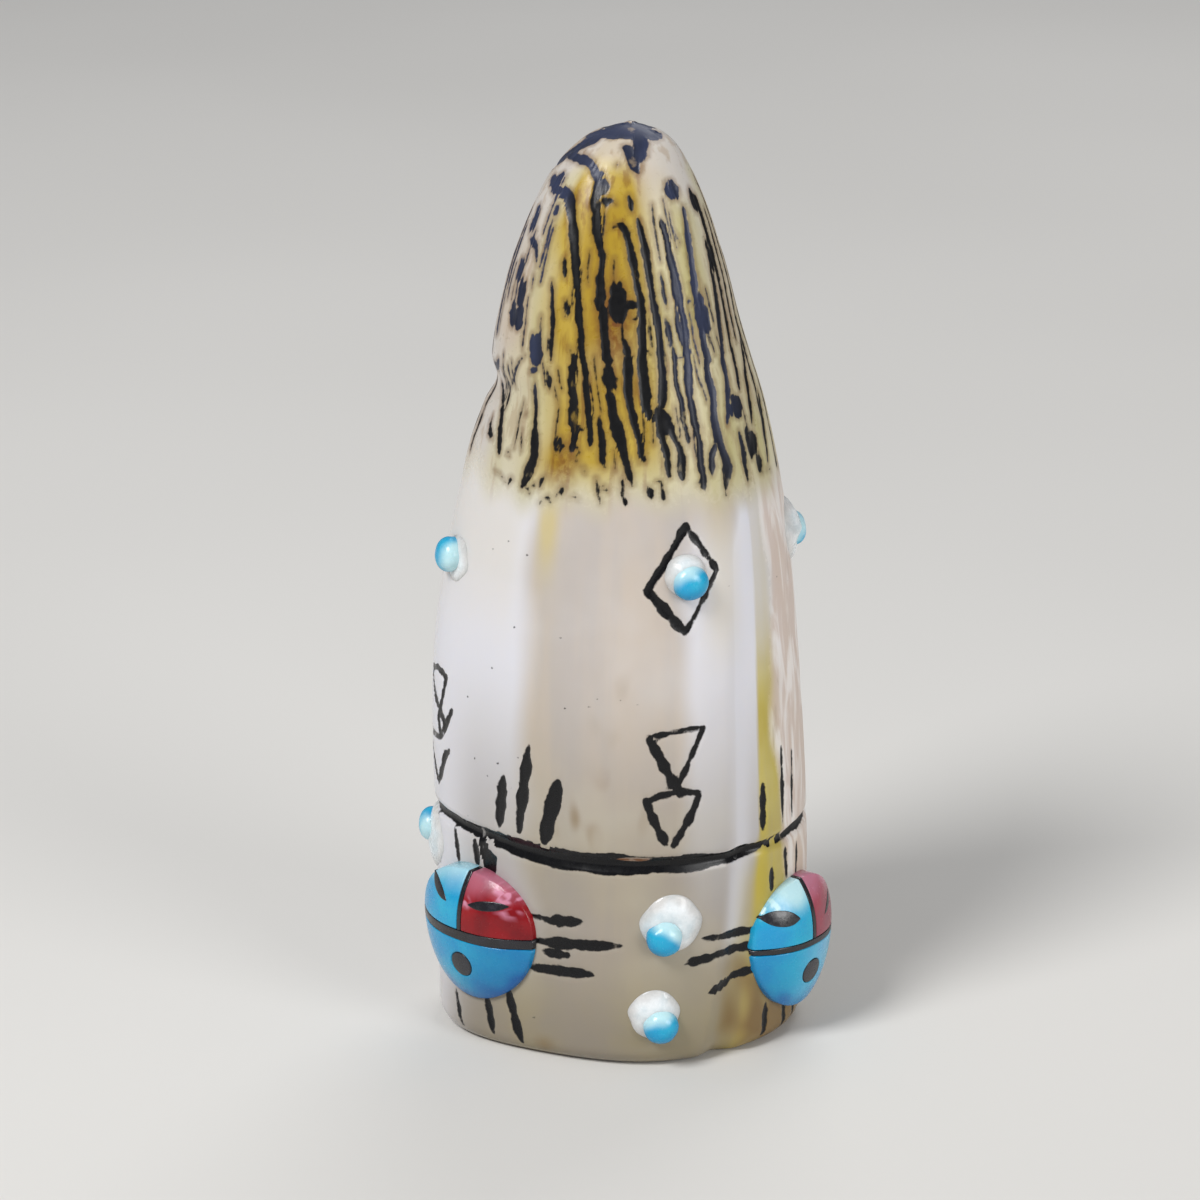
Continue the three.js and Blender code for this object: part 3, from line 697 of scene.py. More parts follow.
def draw_side_hair(ink, random):
    """Hair lines round the sides and the back, with two short strokes at each foot."""
    for index in range(SIDE_HAIR):
        turn = SIDE_HAIR_TURN + SIDE_HAIR_SPAN / SIDE_HAIR * index + random.uniform(-2.0, 2.0)
        start = random.uniform(35.6, 38.2)
        end = random.uniform(54.6, 56.4) if index % 2 else random.uniform(46.5, 54.0)
        height = np.linspace(start, end, 240)
        twist = SIDE_TWIST * (height - 36) / 20 * (turn - 180) / 96
        drift = 1.3 * waves(height, 100 + index, 0.35)
        width = random.uniform(0.40, 0.62) * (1 - 0.35 * rise(height, 50, 56))
        width = width * (1 + 0.34 * waves(height, 200 + index, 0.9))
        ink.strand(np.column_stack([turn - twist + drift, height, width]), 300 + index)
        for _ in range(2):
            foot = turn + random.uniform(-4, 4)
            low = random.uniform(35.2, 36.6)
            ink.line([(foot, low), (foot + random.uniform(-3, 3), low + random.uniform(0.3, 0.8))],
                     random.uniform(0.12, 0.26), ends=0.4, rough=0.4, seed=700 + index)


def draw_blots(ink, random):
    """Ragged blots, each made of several leaves side by side."""
    for seed, (turn, high, low, width) in enumerate(BLOTS):
        reach = np.degrees(width / 7)
        for part in range(BLOT_LEAVES):
            side = random.uniform(-0.36, 0.36) * reach
            drop = random.uniform(0, 0.40) * (high - low)
            ink.leaf((turn + side, low + drop * random.uniform(0, 1)),
                     (turn + side - 1.2, high - drop), width * random.uniform(0.26, 0.72),
                     seed=500 + 6 * seed + part)


def draw_hair(ink):
    """Hair from the ragged edge of the cap to the dark ring round the tip."""
    random = np.random.default_rng(11)
    draw_front_hair(ink)
    draw_fine_hair(ink, random)
    draw_side_hair(ink, random)
    ink.line([(turn, 56.8) for turn in range(-180, 181, 20)], 1.3, ends=1, rough=0.3, seed=496)
    draw_blots(ink, random)


def draw_specks(ink):
    """Small dark pits in the stone."""
    random = np.random.default_rng(5)
    places = [(-60, 18.2), (-65, 22.0), (-50, 24.4), (-45.8, 18.5), (-51.7, 17.5),
              (-6, 23.8), (-8.2, 23.4), (-26, 21.8), (6.2, 23.6)]
    places += [(random.uniform(-180, 180), random.uniform(1, 34)) for _ in range(70)]
    for seed, (turn, height) in enumerate(places):
        reach = random.uniform(0.4, 1.1)
        width = random.uniform(0.07, 0.18)
        ink.leaf((turn, height), (turn + reach, height + 0.1 * reach), width, seed=700 + seed)


def carving_rows(shape):
    """Levels up the body, evenly spaced along its outline and closer at the foot."""
    fine = np.concatenate([
        shape.level_of(FOOT_ROUND * (1 - np.cos(np.linspace(0, pi / 2, 60)))),
        np.linspace(shape.level_of(FOOT_ROUND), len(STATIONS) - 1, 4000)[1:]])
    length = run_along(shape.at(np.full_like(fine, pi / 2), fine))
    wanted = np.linspace(0, length[-1] * TOP_ROW, BODY_ROWS)
    return np.interp(wanted, length, fine)


def body_grid(shape):
    """Turns in radians, then points and outward normals of all rows of the body."""
    even = np.linspace(-pi, pi, BODY_COLUMNS + 1)[:-1]
    turns = even - 0.24 * np.sin(even)
    grid = shape.at(*np.meshgrid(turns, carving_rows(shape)))
    along = np.roll(grid, -1, 1) - np.roll(grid, 1, 1)
    normal = np.cross(along, np.gradient(grid, axis=0))
    normal /= np.linalg.norm(normal, axis=2, keepdims=True) + 1e-12
    return turns, grid.reshape(-1, 3), normal.reshape(-1, 3)


def make_body():
    """Body with its lines cut in, closed by a flat underside."""
    shape = body_shape()
    turns, flat, normal = body_grid(shape)
    ink = Ink(shape)
    for draw in (draw_band, draw_hair, draw_leaves, draw_rays, draw_specks, draw_figures):
        draw(ink)
    outside = ink.depths(flat)
    cut = LINE_DEPTH * rise(-outside, -0.05, 0.17) * rise(flat[:, 2], 0.0, 0.5)
    worn = WEAR_DEPTH * grain(flat, 0.35, 3.0) * rise(flat[:, 2], 0.4, 3.0)
    moved = flat - normal * (cut + np.maximum(worn, 0))[:, None]

    tip = shape.at(np.array([0.0]), np.array([len(STATIONS) - 1.0]))[0]
    underside = [np.column_stack([moved[:BODY_COLUMNS, :2] * share, np.zeros(BODY_COLUMNS)])
                 for share in UNDERSIDE_RINGS]
    points = np.concatenate(underside + [moved, [[0, 0, 0]], [tip]])
    rows = BODY_ROWS + len(underside)
    body = add_mesh("body_surface", points, ring_faces(rows, BODY_COLUMNS))

    below = BODY_COLUMNS * len(underside)
    turn = np.concatenate([np.degrees(np.tile(turns, rows)), [0, 0]])
    height = np.concatenate([np.zeros(below), flat[:, 2], [0, shape.height]])
    outside = np.concatenate([np.ones(below), outside, [1.0, -0.1]])
    spots = Spots(shape, points, turn, height)
    patch = hump(apart(turn, PATCH_TURN), PATCH_SPREAD) * hump(height - PATCH_HEIGHT, PATCH_REACH)
    masks = {"ink": line_edges(spots, outside, patch)}
    for colour in (cap_masks, flank_masks, tone_and_painted_light_masks):
        masks.update(colour(spots))
    masks.update(stain_masks(spots, patch))
    for name in MASKS:
        add_values(body, name, masks[name])
    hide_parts(BODY_NODE)
    body.data.materials.append(stone_material())
    return body


# Colours of the body that are stored as a share at each point
MASKS = ("ink", "cap", "amber", "flank", "drip", "rind", "pale", "dusk", "stain", "brown",
         "ashen", "sheen")
CAP_EDGE = 35.6

# Brown stains of the cap: turn, spread, height, spread and strength
BROWN_STAINS = (
    (-2, 15, 46.3, 4.0, 1.0), (-22, 8, 38.0, 2.6, 0.8), (5, 8, 42.4, 1.4, 0.5),
)


class Spots:
    """Points of the body by turn and height, and the noise that breaks up its colours."""

    def __init__(self, shape, points, turn, height):
        self.turn = turn
        self.height = height
        self.past_seam = apart(turn, shape.seam_turn(height))
        self.blotch = grain(points, 0.22, 9.0)
        self.streak = grain(points * (1, 1, 0.16), 0.6, 4.0)
        self.flake = grain(points * (1, 1, 0.3), 0.55, 14.0)
        self.cloud = grain(points * (1, 1, 0.5), 0.8, 21.0)
        self.chips = grain(points, 2.2, 33.0)
        self.edge = CAP_EDGE + 0.35 * waves(turn, 31, 0.11) + 0.5 * self.streak
        self.cap = rise(height, self.edge - 1.4, self.edge + 1.6)

    def near(self, turn, spread):
        """1 at a turn, 0 from one spread away."""
        return hump(apart(self.turn, turn), spread)


def line_edges(spots, outside, patch):
    """Distance outside the black lines, with a bare patch and a worn end in the band."""
    worn = spots.near(55, 11) * hump(spots.height - BAND_HEIGHT, 1.1)
    return outside + 0.75 * patch + 0.5 * worn * rise(spots.chips, -0.2, 0.4)


def cap_masks(spots):
    """Golden front, ashen sides and tip paled by painted highlights, and painted blue-grey sheen on
    the cap's black lines.
    """
    turn = spots.turn
    height = spots.height
    golden = within(turn + 4 * spots.streak + 3 * spots.blotch, -42, -28, 2, 26)
    amber = rise(height, spots.edge + 0.2, spots.edge + 3.5) * (
        golden + 0.22 * spots.near(-5, 70) + 0.5 * spots.near(175, 100))
    amber = amber * (0.95 + 0.4 * spots.blotch) * (1 - 0.8 * rise(height, 53.5, 56))
    # Ashen tone together with painted highlights: the tip, the left side and the upper right are
    # paled as where lamps reflect.
    ashen = (rise(-turn, 46, 62) * rise(height, 42, 46) + 0.8 * rise(-turn, 60, 80)
             + rise(height, 54.0, 55.6) + 0.45 * rise(turn, 40, 62) * rise(height, 38, 43)
             + 0.9 * within(turn, 3, 12, 55, 80) * rise(height, 51.5, 54.2)
             + 0.35 * rise(-turn, 34, 48))
    # Painted reflection: blue-grey sheen laid on the black lines where lamps glint on them.
    sheen = (spots.near(40, 26) * rise(height, 35, 42)
             + rise(-turn, 30, 46) * rise(height, 40, 44) + rise(height, 53, 55))
    return {"cap": spots.cap, "amber": clipped(amber), "ashen": spots.cap * clipped(ashen),
            "sheen": spots.cap * clipped(sheen)}


def flank_masks(spots):
    """Yellow flank past the seam, flaky rind beside it and amber drips below the cap."""
    turn = spots.turn
    height = spots.height
    past = spots.past_seam
    flank = rise(past, 3.0 + 1.8 * rise(height, 13, 15), 6.5) * (1 - rise(turn, 55, 64))
    flank = flank * (0.5 + 0.5 * rise(height, 9, 14))
    flank = flank + 0.40 * rise(past, -8, 6) * (1 - rise(turn, 74, 92)) * (
        1 - rise(height, 11, 14))
    flank = flank * (1 - 0.60 * rise(height, 21, 27)) * (0.95 + 0.4 * spots.blotch) * (turn > 0)
    flank = flank * (1 - 0.6 * rise(height, 29, 35))
    drip = (0.08 * spots.near(-27, 12) * rise(height, 12, 20)
            + 0.30 * within(-turn, 30, 48, 110, 140) * rise(height, 24, 32)
            + 0.35 * hump(past + 9, 11) * rise(height, 24, 29)
            + 1.1 * spots.near(-27, 7) * rise(height, 29, 34.5) * (1 - spots.cap))
    rind = rise(turn + 7 * spots.flake, 55, 62) * (1 - rise(turn, 96, 116))
    return {"flank": clipped(flank), "drip": clipped(drip),
            "rind": rind * within(height, 3, 12, 33, 38)}


def tone_and_painted_light_masks(spots):
    """Pale parts of the stone with painted highlights on the left facet and along the seam, and a
    darker foot that is partly painted shade.
    """
    turn = spots.turn
    height = spots.height
    past = spots.past_seam
    # Painted highlight: the left facet is made lighter where the lamps catch it.
    left = rise(-turn + 3 * spots.blotch, 26, 40) * (1 - rise(-turn, 150, 175)) * clipped(
        rise(height, 2, 10) + 0.8 * rise(-turn, 50, 75))
    # Painted highlight: a lighter streak before and along the seam, above and below the band.
    seam_highlight = rise(past + 2 * spots.blotch, -26, -17) * (1 - rise(past, 4, 6))
    seam_highlight = 0.85 * seam_highlight * within(height, 5, 16, 31, 36)
    seam_highlight = seam_highlight + 0.9 * within(past, -5, -2, 4.5, 6) * within(height, 12.5, 15, 31, 35)
    seam_highlight = seam_highlight + 0.8 * hump(past + 2.5, 7) * within(height, 5.5, 9, 12.7, 14)
    chalk = hump(apart(turn, 64) + 2 * spots.flake, 4.5) * rise(spots.flake, -0.1, 0.5)
    creamy = rise(past, -3, 2) * (1 - rise(turn, 58, 66)) * rise(height, 23, 28)
    # Pale stone, chalky rind and cream, together with the painted highlights.
    pale = left + seam_highlight + chalk * within(height, 14, 17, 30, 36) + 0.75 * creamy * (1 - spots.cap)
    # Darker towards the foot: partly the stone's own tone, partly painted shade; less so on the lit
    # left and under the painted seam highlight.
    dusk = 0.62 * (1 - rise(height, 12, 27)) + 0.38 * (1 - rise(height, 0.5, 9))
    dusk = dusk * (1 - 0.8 * within(-turn, 55, 85, 140, 170))
    dusk = dusk * (1 - 0.6 * hump(past + 2.5, 7) * rise(height, 5.5, 9))
    return {"pale": clipped(pale), "dusk": dusk}


def stain_masks(spots, patch):
    """Dull stains of the cream stone, painted shade at the right foot, and brown stains of the cap.
    """
    height = spots.height
    cloud = spots.cloud
    # Painted shade: the right foot below the right sun face is darkened as if in shadow.
    foot = within(spots.turn, 30, 40, 80, 100) * (1 - rise(height + 2 * cloud, 2, 9))
    above_band = hump(apart(spots.turn, -12) + 2 * cloud, 9) * hump(height - 16.2, 2.6)
    stain = (0.75 * above_band * rise(cloud, -0.2, 0.7)
             + 0.45 * spots.near(2, 14) * hump(height - 20, 7) * rise(cloud, 0.1, 0.8)
             + 0.8 * spots.near(-28, 6) * hump(height - 0.9, 0.8) + foot)
    brown = sum(strength * spots.near(turn, wide) * hump(height - middle, tall)
                for turn, wide, middle, tall, strength in BROWN_STAINS)
    return {"stain": clipped(stain), "brown": clipped(spots.cap * brown + 1.4 * patch)}


class Nodes:
    """Short way to build one material's nodes."""

    def __init__(self, name):
        self.material = bpy.data.materials.new(name)
        self.material.use_nodes = True
        self.tree = self.material.node_tree
        self.tree.nodes.clear()
        self.shader = self.add("ShaderNodeBsdfPrincipled")
        out = self.add("ShaderNodeOutputMaterial")
        self.tree.links.new(self.shader.outputs[0], out.inputs["Surface"])
        self.space = self.add("ShaderNodeTexCoord").outputs["Object"]

    def add(self, kind, **settings):
        return tune(self.tree.nodes.new(kind), **settings)

    def feed(self, socket, value):
        """Links a socket to another one, or sets its value."""
        if isinstance(value, bpy.types.NodeSocket):
            self.tree.links.new(value, socket)
        elif isinstance(value, tuple) and len(value) == 3 and socket.type == "RGBA":
            socket.default_value = (*value, 1)
        else:
            socket.default_value = value

    def math(self, operation, first, second=0.0, clamp=False):
        node = self.add("ShaderNodeMath", operation=operation, use_clamp=clamp)
        self.feed(node.inputs[0], first)
        self.feed(node.inputs[1], second)
        return node.outputs[0]

    def mix(self, share, first, second):
        """First colour, with a share of the second."""
        node = self.add("ShaderNodeMix", data_type="RGBA", blend_type="MIX")
        self.feed(node.inputs[0], share)
        self.feed(node.inputs[6], first)
        self.feed(node.inputs[7], second)
        return node.outputs[2]

    def blend(self, pattern, low, high, first, second):
        """Second colour where a pattern passes from low to high, else the first."""
        return self.mix(self.span(pattern, low, high), first, second)

    def values(self, name):
        """Numbers stored on the mesh under a name."""
        return self.add("ShaderNodeAttribute", attribute_name=name).outputs["Fac"]

    def scaled(self, name, amount):
        """Numbers stored on the mesh, times an amount or a pattern."""
        return self.math("MULTIPLY", self.values(name), amount)

    def noise(self, scale, detail=3.0, stretch=(1, 1, 1), distortion=0.0):
        """Noise in space; a small stretch draws it out along that axis."""
        place = self.add("ShaderNodeMapping")
        self.feed(place.inputs["Vector"], self.space)
        place.inputs["Scale"].default_value = stretch
        node = self.add("ShaderNodeTexNoise")
        self.feed(node.inputs["Vector"], place.outputs[0])
        for socket, value in (("Scale", scale), ("Detail", detail), ("Distortion", distortion)):
            node.inputs[socket].default_value = value
        return node.outputs["Fac"]

    def span(self, value, low, high, start=0.0, end=1.0):
        """Smooth step from start to end while a value goes from low to high."""
        node = self.add("ShaderNodeMapRange", interpolation_type="SMOOTHSTEP")
        for socket, number in zip(node.inputs, (value, low, high, start, end)):
            self.feed(socket, number)
        return node.outputs[0]

    def bump(self, height, strength, distance):
        """Fine relief in the shading."""
        node = self.add("ShaderNodeBump")
        self.feed(node.inputs["Height"], height)
        node.inputs["Strength"].default_value = strength
        node.inputs["Distance"].default_value = distance
        self.tree.links.new(node.outputs[0], self.shader.inputs["Normal"])

    def set(self, **sockets):
        """Sets the shader's sockets, named with _ for each blank."""
        for name, value in sockets.items():
            self.feed(self.shader.inputs[name.replace("_", " ")], value)


def cream_colour(nodes, main, flank, streaks, clouds):
    """Cream stone with its pale parts and painted highlights, its darker foot that is partly
    painted shade, yellow flank, drips and flaky rind.
    """
    base = nodes.blend(streaks, 0.35, 0.68, main, linear(196, 184, 172))
    base = nodes.mix(nodes.span(clouds, 0.45, 0.75, 0, 0.5), base, linear(206, 202, 200))
    # Paler where the stone is pale and where highlights are painted.
    base = nodes.mix(nodes.scaled("pale", 0.9), base, linear(224, 224, 231))
    # Darker, more olive foot: partly the stone's own tone, partly painted shade.
    below = nodes.blend(clouds, 0.35, 0.7, linear(132, 123, 108), linear(142, 130, 94))
    base = nodes.mix(nodes.scaled("dusk", 0.9), base, below)
    ochre = nodes.blend(clouds, 0.35, 0.7, flank, linear(208, 196, 124))
    base = nodes.mix(nodes.scaled("flank", nodes.span(streaks, 0.25, 0.6, 0.55, 1)), base, ochre)
    base = nodes.mix(nodes.scaled("drip", 0.7), base, linear(206, 188, 124))
    veins = nodes.noise(900, 7, (1, 1, 0.22), 0.8)
    rind = nodes.blend(veins, 0.40, 0.62, linear(212, 194, 182), linear(240, 234, 230))
    cracks = nodes.span(nodes.noise(1500, 6, (1, 1, 0.14), 0.6), 0.60, 0.72, 0, 0.5)
    rind = nodes.mix(cracks, rind, linear(164, 142, 124))
    return nodes.mix(nodes.scaled("rind", 0.8), base, rind)


def cap_colour(nodes, base, main, streaks, clouds, threads):
    """Cream and ashen stone of the cap with painted highlights paling its tip and sides, and its
    amber front.
    """
    cream = nodes.blend(streaks, 0.35, 0.7, linear(204, 196, 158), linear(182, 174, 118))
    # Ashen stone and painted highlights on the cap's tip and sides.
    ashes = nodes.blend(clouds, 0.35, 0.7, linear(202, 197, 196), linear(190, 174, 158))
    cream = nodes.mix(nodes.scaled("ashen", 0.85), cream, ashes)
    cream = nodes.mix(nodes.span(threads, 0.54, 0.68, 0, 0.45), cream, linear(160, 134, 100))
    base = nodes.mix(nodes.scaled("cap", 0.92), base, cream)
    honey = nodes.blend(streaks, 0.3, 0.7, main, linear(186, 160, 70))
    honey = nodes.mix(nodes.span(threads, 0.53, 0.68, 0, 0.6), honey, linear(120, 78, 30))
    return nodes.mix(nodes.scaled("amber", nodes.span(clouds, 0.2, 0.5, 0.7, 1)), base, honey)


def stone_material():
    """Polished translucent cream stone, its amber cap, stains and black lines."""
    colours = bpy.context.scene.carving_body
    nodes = Nodes("cream_stone")
    streaks = nodes.noise(420, 4, (1, 1, 0.10), 0.4)
    clouds = nodes.noise(130, 3)
    fine = nodes.noise(2600, 3)
    threads = nodes.noise(1500, 4, (1, 1, 0.07))
    base = cream_colour(nodes, tuple(colours.stone), tuple(colours.flank), streaks, clouds)
    base = cap_colour(nodes, base, tuple(colours.amber), streaks, clouds, threads)
    brown = nodes.scaled("brown", nodes.span(fine, 0.35, 0.6, 0.5, 1))
    base = nodes.mix(brown, base, linear(112, 62, 20))
    # Real stains, and painted shade at the right foot, darken the stone here.
    stain = nodes.scaled("stain", nodes.span(clouds, 0.35, 0.6))
    base = nodes.mix(stain, base, linear(128, 104, 66))

    ragged = nodes.math("MULTIPLY", nodes.math("SUBTRACT", fine, 0.5), 0.20)
    edge = nodes.math("ADD", nodes.values("ink"), ragged)
    bare = nodes.span(nodes.noise(900, 4, (1, 1, 0.5)), 0.66, 0.74, 0, 0.55)
    ink = nodes.math("SUBTRACT", nodes.span(edge, -0.05, 0.05, 1, 0), bare, clamp=True)
    halo = nodes.scaled("cap", nodes.span(edge, 0.0, 0.40, 0.50, 0))
    base = nodes.mix(halo, base, linear(110, 78, 44))
    # Painted reflection: the black lines take a blue-grey sheen here.
    sheen = nodes.scaled("sheen", nodes.span(streaks, 0.3, 0.6, 0.3, 1))
    base = nodes.mix(ink, base, nodes.mix(sheen, tuple(colours.ink), linear(48, 55, 80)))

    polish = nodes.span(fine, 0.3, 0.7, 0.17, 0.25)
    for dull in (nodes.scaled("rind", 0.25), nodes.scaled("cap", 0.10),
                 nodes.math("MULTIPLY", ink, 0.06)):
        polish = nodes.math("ADD", polish, dull)
    nodes.set(Base_Color=base, Roughness=polish, Subsurface_Weight=0.18,
              Subsurface_Radius=(1.0, 0.8, 0.6), Subsurface_Scale=0.0010, IOR=1.5,
              Specular_IOR_Level=0.3)
    relief = nodes.math("ADD", nodes.math("MULTIPLY", fine, 0.15), nodes.scaled("cap", threads))
    nodes.bump(relief, 0.12, 0.00008)
    return nodes.material


def turquoise_material():
    """Turquoise, paled where milk and painted highlight lie and deepened where painted shade lies.
    """
    colours = bpy.context.scene.carving_stones
    nodes = Nodes("turquoise_stone")
    fine = nodes.noise(3000, 3)
    base = nodes.blend(nodes.noise(380, 4), 0.35, 0.7, tuple(colours.turquoise),
                       linear(26, 150, 202))
    base = nodes.mix(nodes.scaled("milk", 0.9), base, linear(198, 232, 236))
    base = nodes.mix(nodes.values("deep"), base, linear(12, 92, 160))
    nodes.set(Base_Color=base, Roughness=nodes.span(fine, 0.3, 0.7, 0.16, 0.30),
              Subsurface_Weight=0.08, Subsurface_Radius=(0.5, 0.8, 1.0),
              Subsurface_Scale=0.0006, IOR=1.6, Specular_IOR_Level=0.35)
    nodes.bump(fine, 0.08, 0.00005)
    return nodes.material


def coral_material():
    """Coral, paled where milk and painted highlight lie and deepened where painted shade lies."""
    colours = bpy.context.scene.carving_stones
    nodes = Nodes("coral_stone")
    fine = nodes.noise(3000, 3)
    base = nodes.blend(nodes.noise(420, 4), 0.35, 0.7, tuple(colours.coral), linear(108, 16, 24))
    base = nodes.mix(nodes.scaled("milk", 0.8), base, linear(216, 150, 176))
    base = nodes.mix(nodes.values("deep"), base, linear(96, 14, 24))
    nodes.set(Base_Color=base, Roughness=nodes.span(fine, 0.3, 0.7, 0.14, 0.28),
              Subsurface_Weight=0.08, Subsurface_Radius=(1.0, 0.4, 0.3),
              Subsurface_Scale=0.0005, IOR=1.6, Specular_IOR_Level=0.25)
    nodes.bump(fine, 0.08, 0.00005)
    return nodes.material


def jet_material():
    """Polished black jet."""
    colours = bpy.context.scene.carving_stones
    nodes = Nodes("jet_stone")
    fine = nodes.noise(3200, 3)
    base = nodes.blend(nodes.noise(700, 4), 0.4, 0.7, tuple(colours.jet), linear(30, 30, 40))
    nodes.set(Base_Color=base, Roughness=nodes.span(fine, 0.3, 0.7, 0.18, 0.34), IOR=1.6)
    nodes.bump(fine, 0.1, 0.00005)
    return nodes.material


def glue_material():
    """Milky glue, greyer towards its rim."""
    nodes = Nodes("milky_glue")
    clouds = nodes.noise(900, 4)
    fine = nodes.noise(3500, 3)
    base = nodes.blend(clouds, 0.35, 0.65, linear(236, 240, 242), linear(212, 222, 226))
    base = nodes.mix(nodes.scaled("rim", 0.55), base, linear(188, 180, 172))
    nodes.set(Base_Color=base, Roughness=nodes.span(fine, 0.3, 0.7, 0.12, 0.4),
              Subsurface_Weight=0.5, Subsurface_Radius=(1.0, 1.0, 1.0),
              Subsurface_Scale=0.0008, IOR=1.5)
    nodes.bump(clouds, 0.5, 0.00012)
    return nodes.material


MATERIALS = {
    "turquoise_stone": turquoise_material,
    "coral_stone": coral_material,
    "jet_stone": jet_material,
    "milky_glue": glue_material,
}


def shared(name):
    """Material of that name, made on first use."""
    return bpy.data.materials.get(name) or MATERIALS[name]()


def bead_place(name):
    """Point of the body under a bead, and the bead's directions."""
    point, normal = body_shape().seat(*BEADS[name])
    return point, axes_at(normal)


def make_bead(name):
    """Domed bead, milky with a glue film and painted highlight on the side where its glue is, and
    painted shade on the far side.
    """
    point, axes = bead_place(name)
    ring = circle(BEAD_COLUMNS)
    seed = sum(map(ord, name))
    wobble = 1 + 0.025 * waves(ring[:, 0] * 2 + ring[:, 1] * 3, seed, 1.0)
    shoulder = BEAD_PROUD - BEAD_DOME
    profile = [(1.0, level) for level in (-BEAD_SUNK, -0.6, 0.0, shoulder * 0.6, shoulder)]
    profile += [(cos(part * pi / 2) ** 0.8, shoulder + BEAD_DOME * sin(part * pi / 2) ** 1.1)
                for part in np.linspace(0.06, 0.96, 14)]
    rings = []
    for share, level in profile:
        radius = BEAD_RADIUS * BEAD_TAPER * share * wobble
        rings.append(np.column_stack([radius[:, None] * ring, np.full(BEAD_COLUMNS, level)]))
    local = np.concatenate(rings + [[(0, 0, -BEAD_SUNK)], [(0, 0, BEAD_PROUD - 0.01)]])
    bead = add_mesh(name + "_stone", point + local @ axes, ring_faces(len(profile), BEAD_COLUMNS))
    toward = np.array([*GLUE[name][2:], 0.0])
    toward /= np.linalg.norm(toward)
    lean = local @ toward / BEAD_RADIUS
    edge_noise = grain(local + seed, 1.1, 2.0)
    # Milky glue film and painted highlight on the side toward the glue; painted shade on the far
    # side.
    milk = rise(lean + 0.25 * edge_noise + 0.15 * (1 - local[:, 2] / BEAD_PROUD), 0.0, 0.9)
    add_values(bead, "milk", milk)
    add_values(bead, "deep", 0.4 * rise(-lean - 0.15 * edge_noise, 0.2, 1.1))
    bead.data.materials.append(shared("turquoise_stone"))
    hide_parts(name)


def body_tree():
    """Body's mesh, made ready for rays."""
    body = bpy.data.objects["body_surface"]
    places = [tuple(vertex.co) for vertex in body.data.vertices]
    return BVHTree.FromPolygons(places, [tuple(face.vertices) for face in body.data.polygons])


def drape(tree, origin, axes, local):
    """Local right and up places dropped onto the body along the facing direction."""
    out = []
    for right, up in local:
        place = origin + right * axes[0] + up * axes[1]
        start = Vector((place + DROP_FROM * axes[2]) * MM)
        hit = tree.ray_cast(start, Vector(-axes[2]), 2 * DROP_FROM * MM)[0]
        out.append(place if hit is None else np.array(hit) / MM)
    return np.array(out)


def make_glue(name, tree):
    """Lump of glue that lies on the body round a bead."""
    reach, thick, right, up = GLUE[name]
    point, axes = bead_place(name)
    ring = circle(GLUE_COLUMNS)
    seed = sum(map(ord, name)) + 7
    edge = reach * (1 + 0.09 * waves(ring[:, 0], seed, 1.3)
                    + 0.05 * waves(ring[:, 1] * 3, seed + 1, 1.2))
    centre = np.array([right, up])
    local = [centre + edge[:, None] * share * ring for share in GLUE_SHARES]
    ground = drape(tree, point, axes, np.concatenate(local + [[centre]]))
    share = np.append(np.repeat(GLUE_SHARES, GLUE_COLUMNS), 0.0)
    lumps = 1 + 0.3 * grain(ground, 0.9, 5.0)
    top = ground + axes[2] * (thick * clipped(1 - share ** 2) ** 0.8 * lumps)[:, None]
    top[:GLUE_COLUMNS] = ground[:GLUE_COLUMNS] - axes[2] * 0.03
    base = ground[:GLUE_COLUMNS] - axes[2] * GLUE_SUNK
    points = np.concatenate([base, top[:-1], [base.mean(0)], [top[-1]]])
    glue = add_mesh(name + "_glue", points, ring_faces(len(GLUE_SHARES) + 1, GLUE_COLUMNS))
    glue.data.materials.append(shared("milky_glue"))
    rim = np.concatenate([np.ones(GLUE_COLUMNS), share[:-1], [1.0], [0.0]])
    add_values(glue, "rim", rise(rim + 0.12 * grain(points, 1.4, 3.0), 0.55, 1.0))


def face_part(right, up, half):
    """Share of the way from the middle of a sun face to its outline."""
    power = np.where(up > 0, BROW_SQUARENESS, CHIN_SQUARENESS)
    reach = np.where(up > 0, FACE_BROW, FACE_CHIN)
    across = np.abs(right / half) ** power
    return (across + np.abs(up / reach) ** power) ** (1 / power)


def dome(right, up, half):
    """Height of a sun face above the body at its middle."""
    part = clipped(face_part(right, up, half))
    bend = FACE_BEND * (right / half) ** 2
    return FACE_RIM + (FACE_CROWN - FACE_RIM) * (1 - part ** DOME_FULLNESS) - bend


def spindle(right, up, eye):
    """Distance inside a spindle-shaped eye; negative outside it."""
    centre, length, width, degrees = eye
    slant = radians(degrees)
    along = (right - centre[0]) * cos(slant) + (up - centre[1]) * sin(slant)
    across = (up - centre[1]) * cos(slant) - (right - centre[0]) * sin(slant)
    half = width / 2 * clipped(1 - np.abs(along / (length / 2)) ** 2.4)
    return half - np.abs(across)


def stone_reach(inside, centre, hole):
    """How far a stone reaches out from its hole, or from its centre, in each direction."""
    ring = circle(STONE_COLUMNS)
    low = np.full(STONE_COLUMNS, hole)
    high = np.full(STONE_COLUMNS, 9.0)
    for _ in range(40):
        middle = (low + high) / 2
        place = centre + ring * middle[:, None]
        keep = inside(place[:, 0], place[:, 1]) > 0
        low = np.where(keep, middle, low)
        high = np.where(keep, high, middle)
    return low - hole


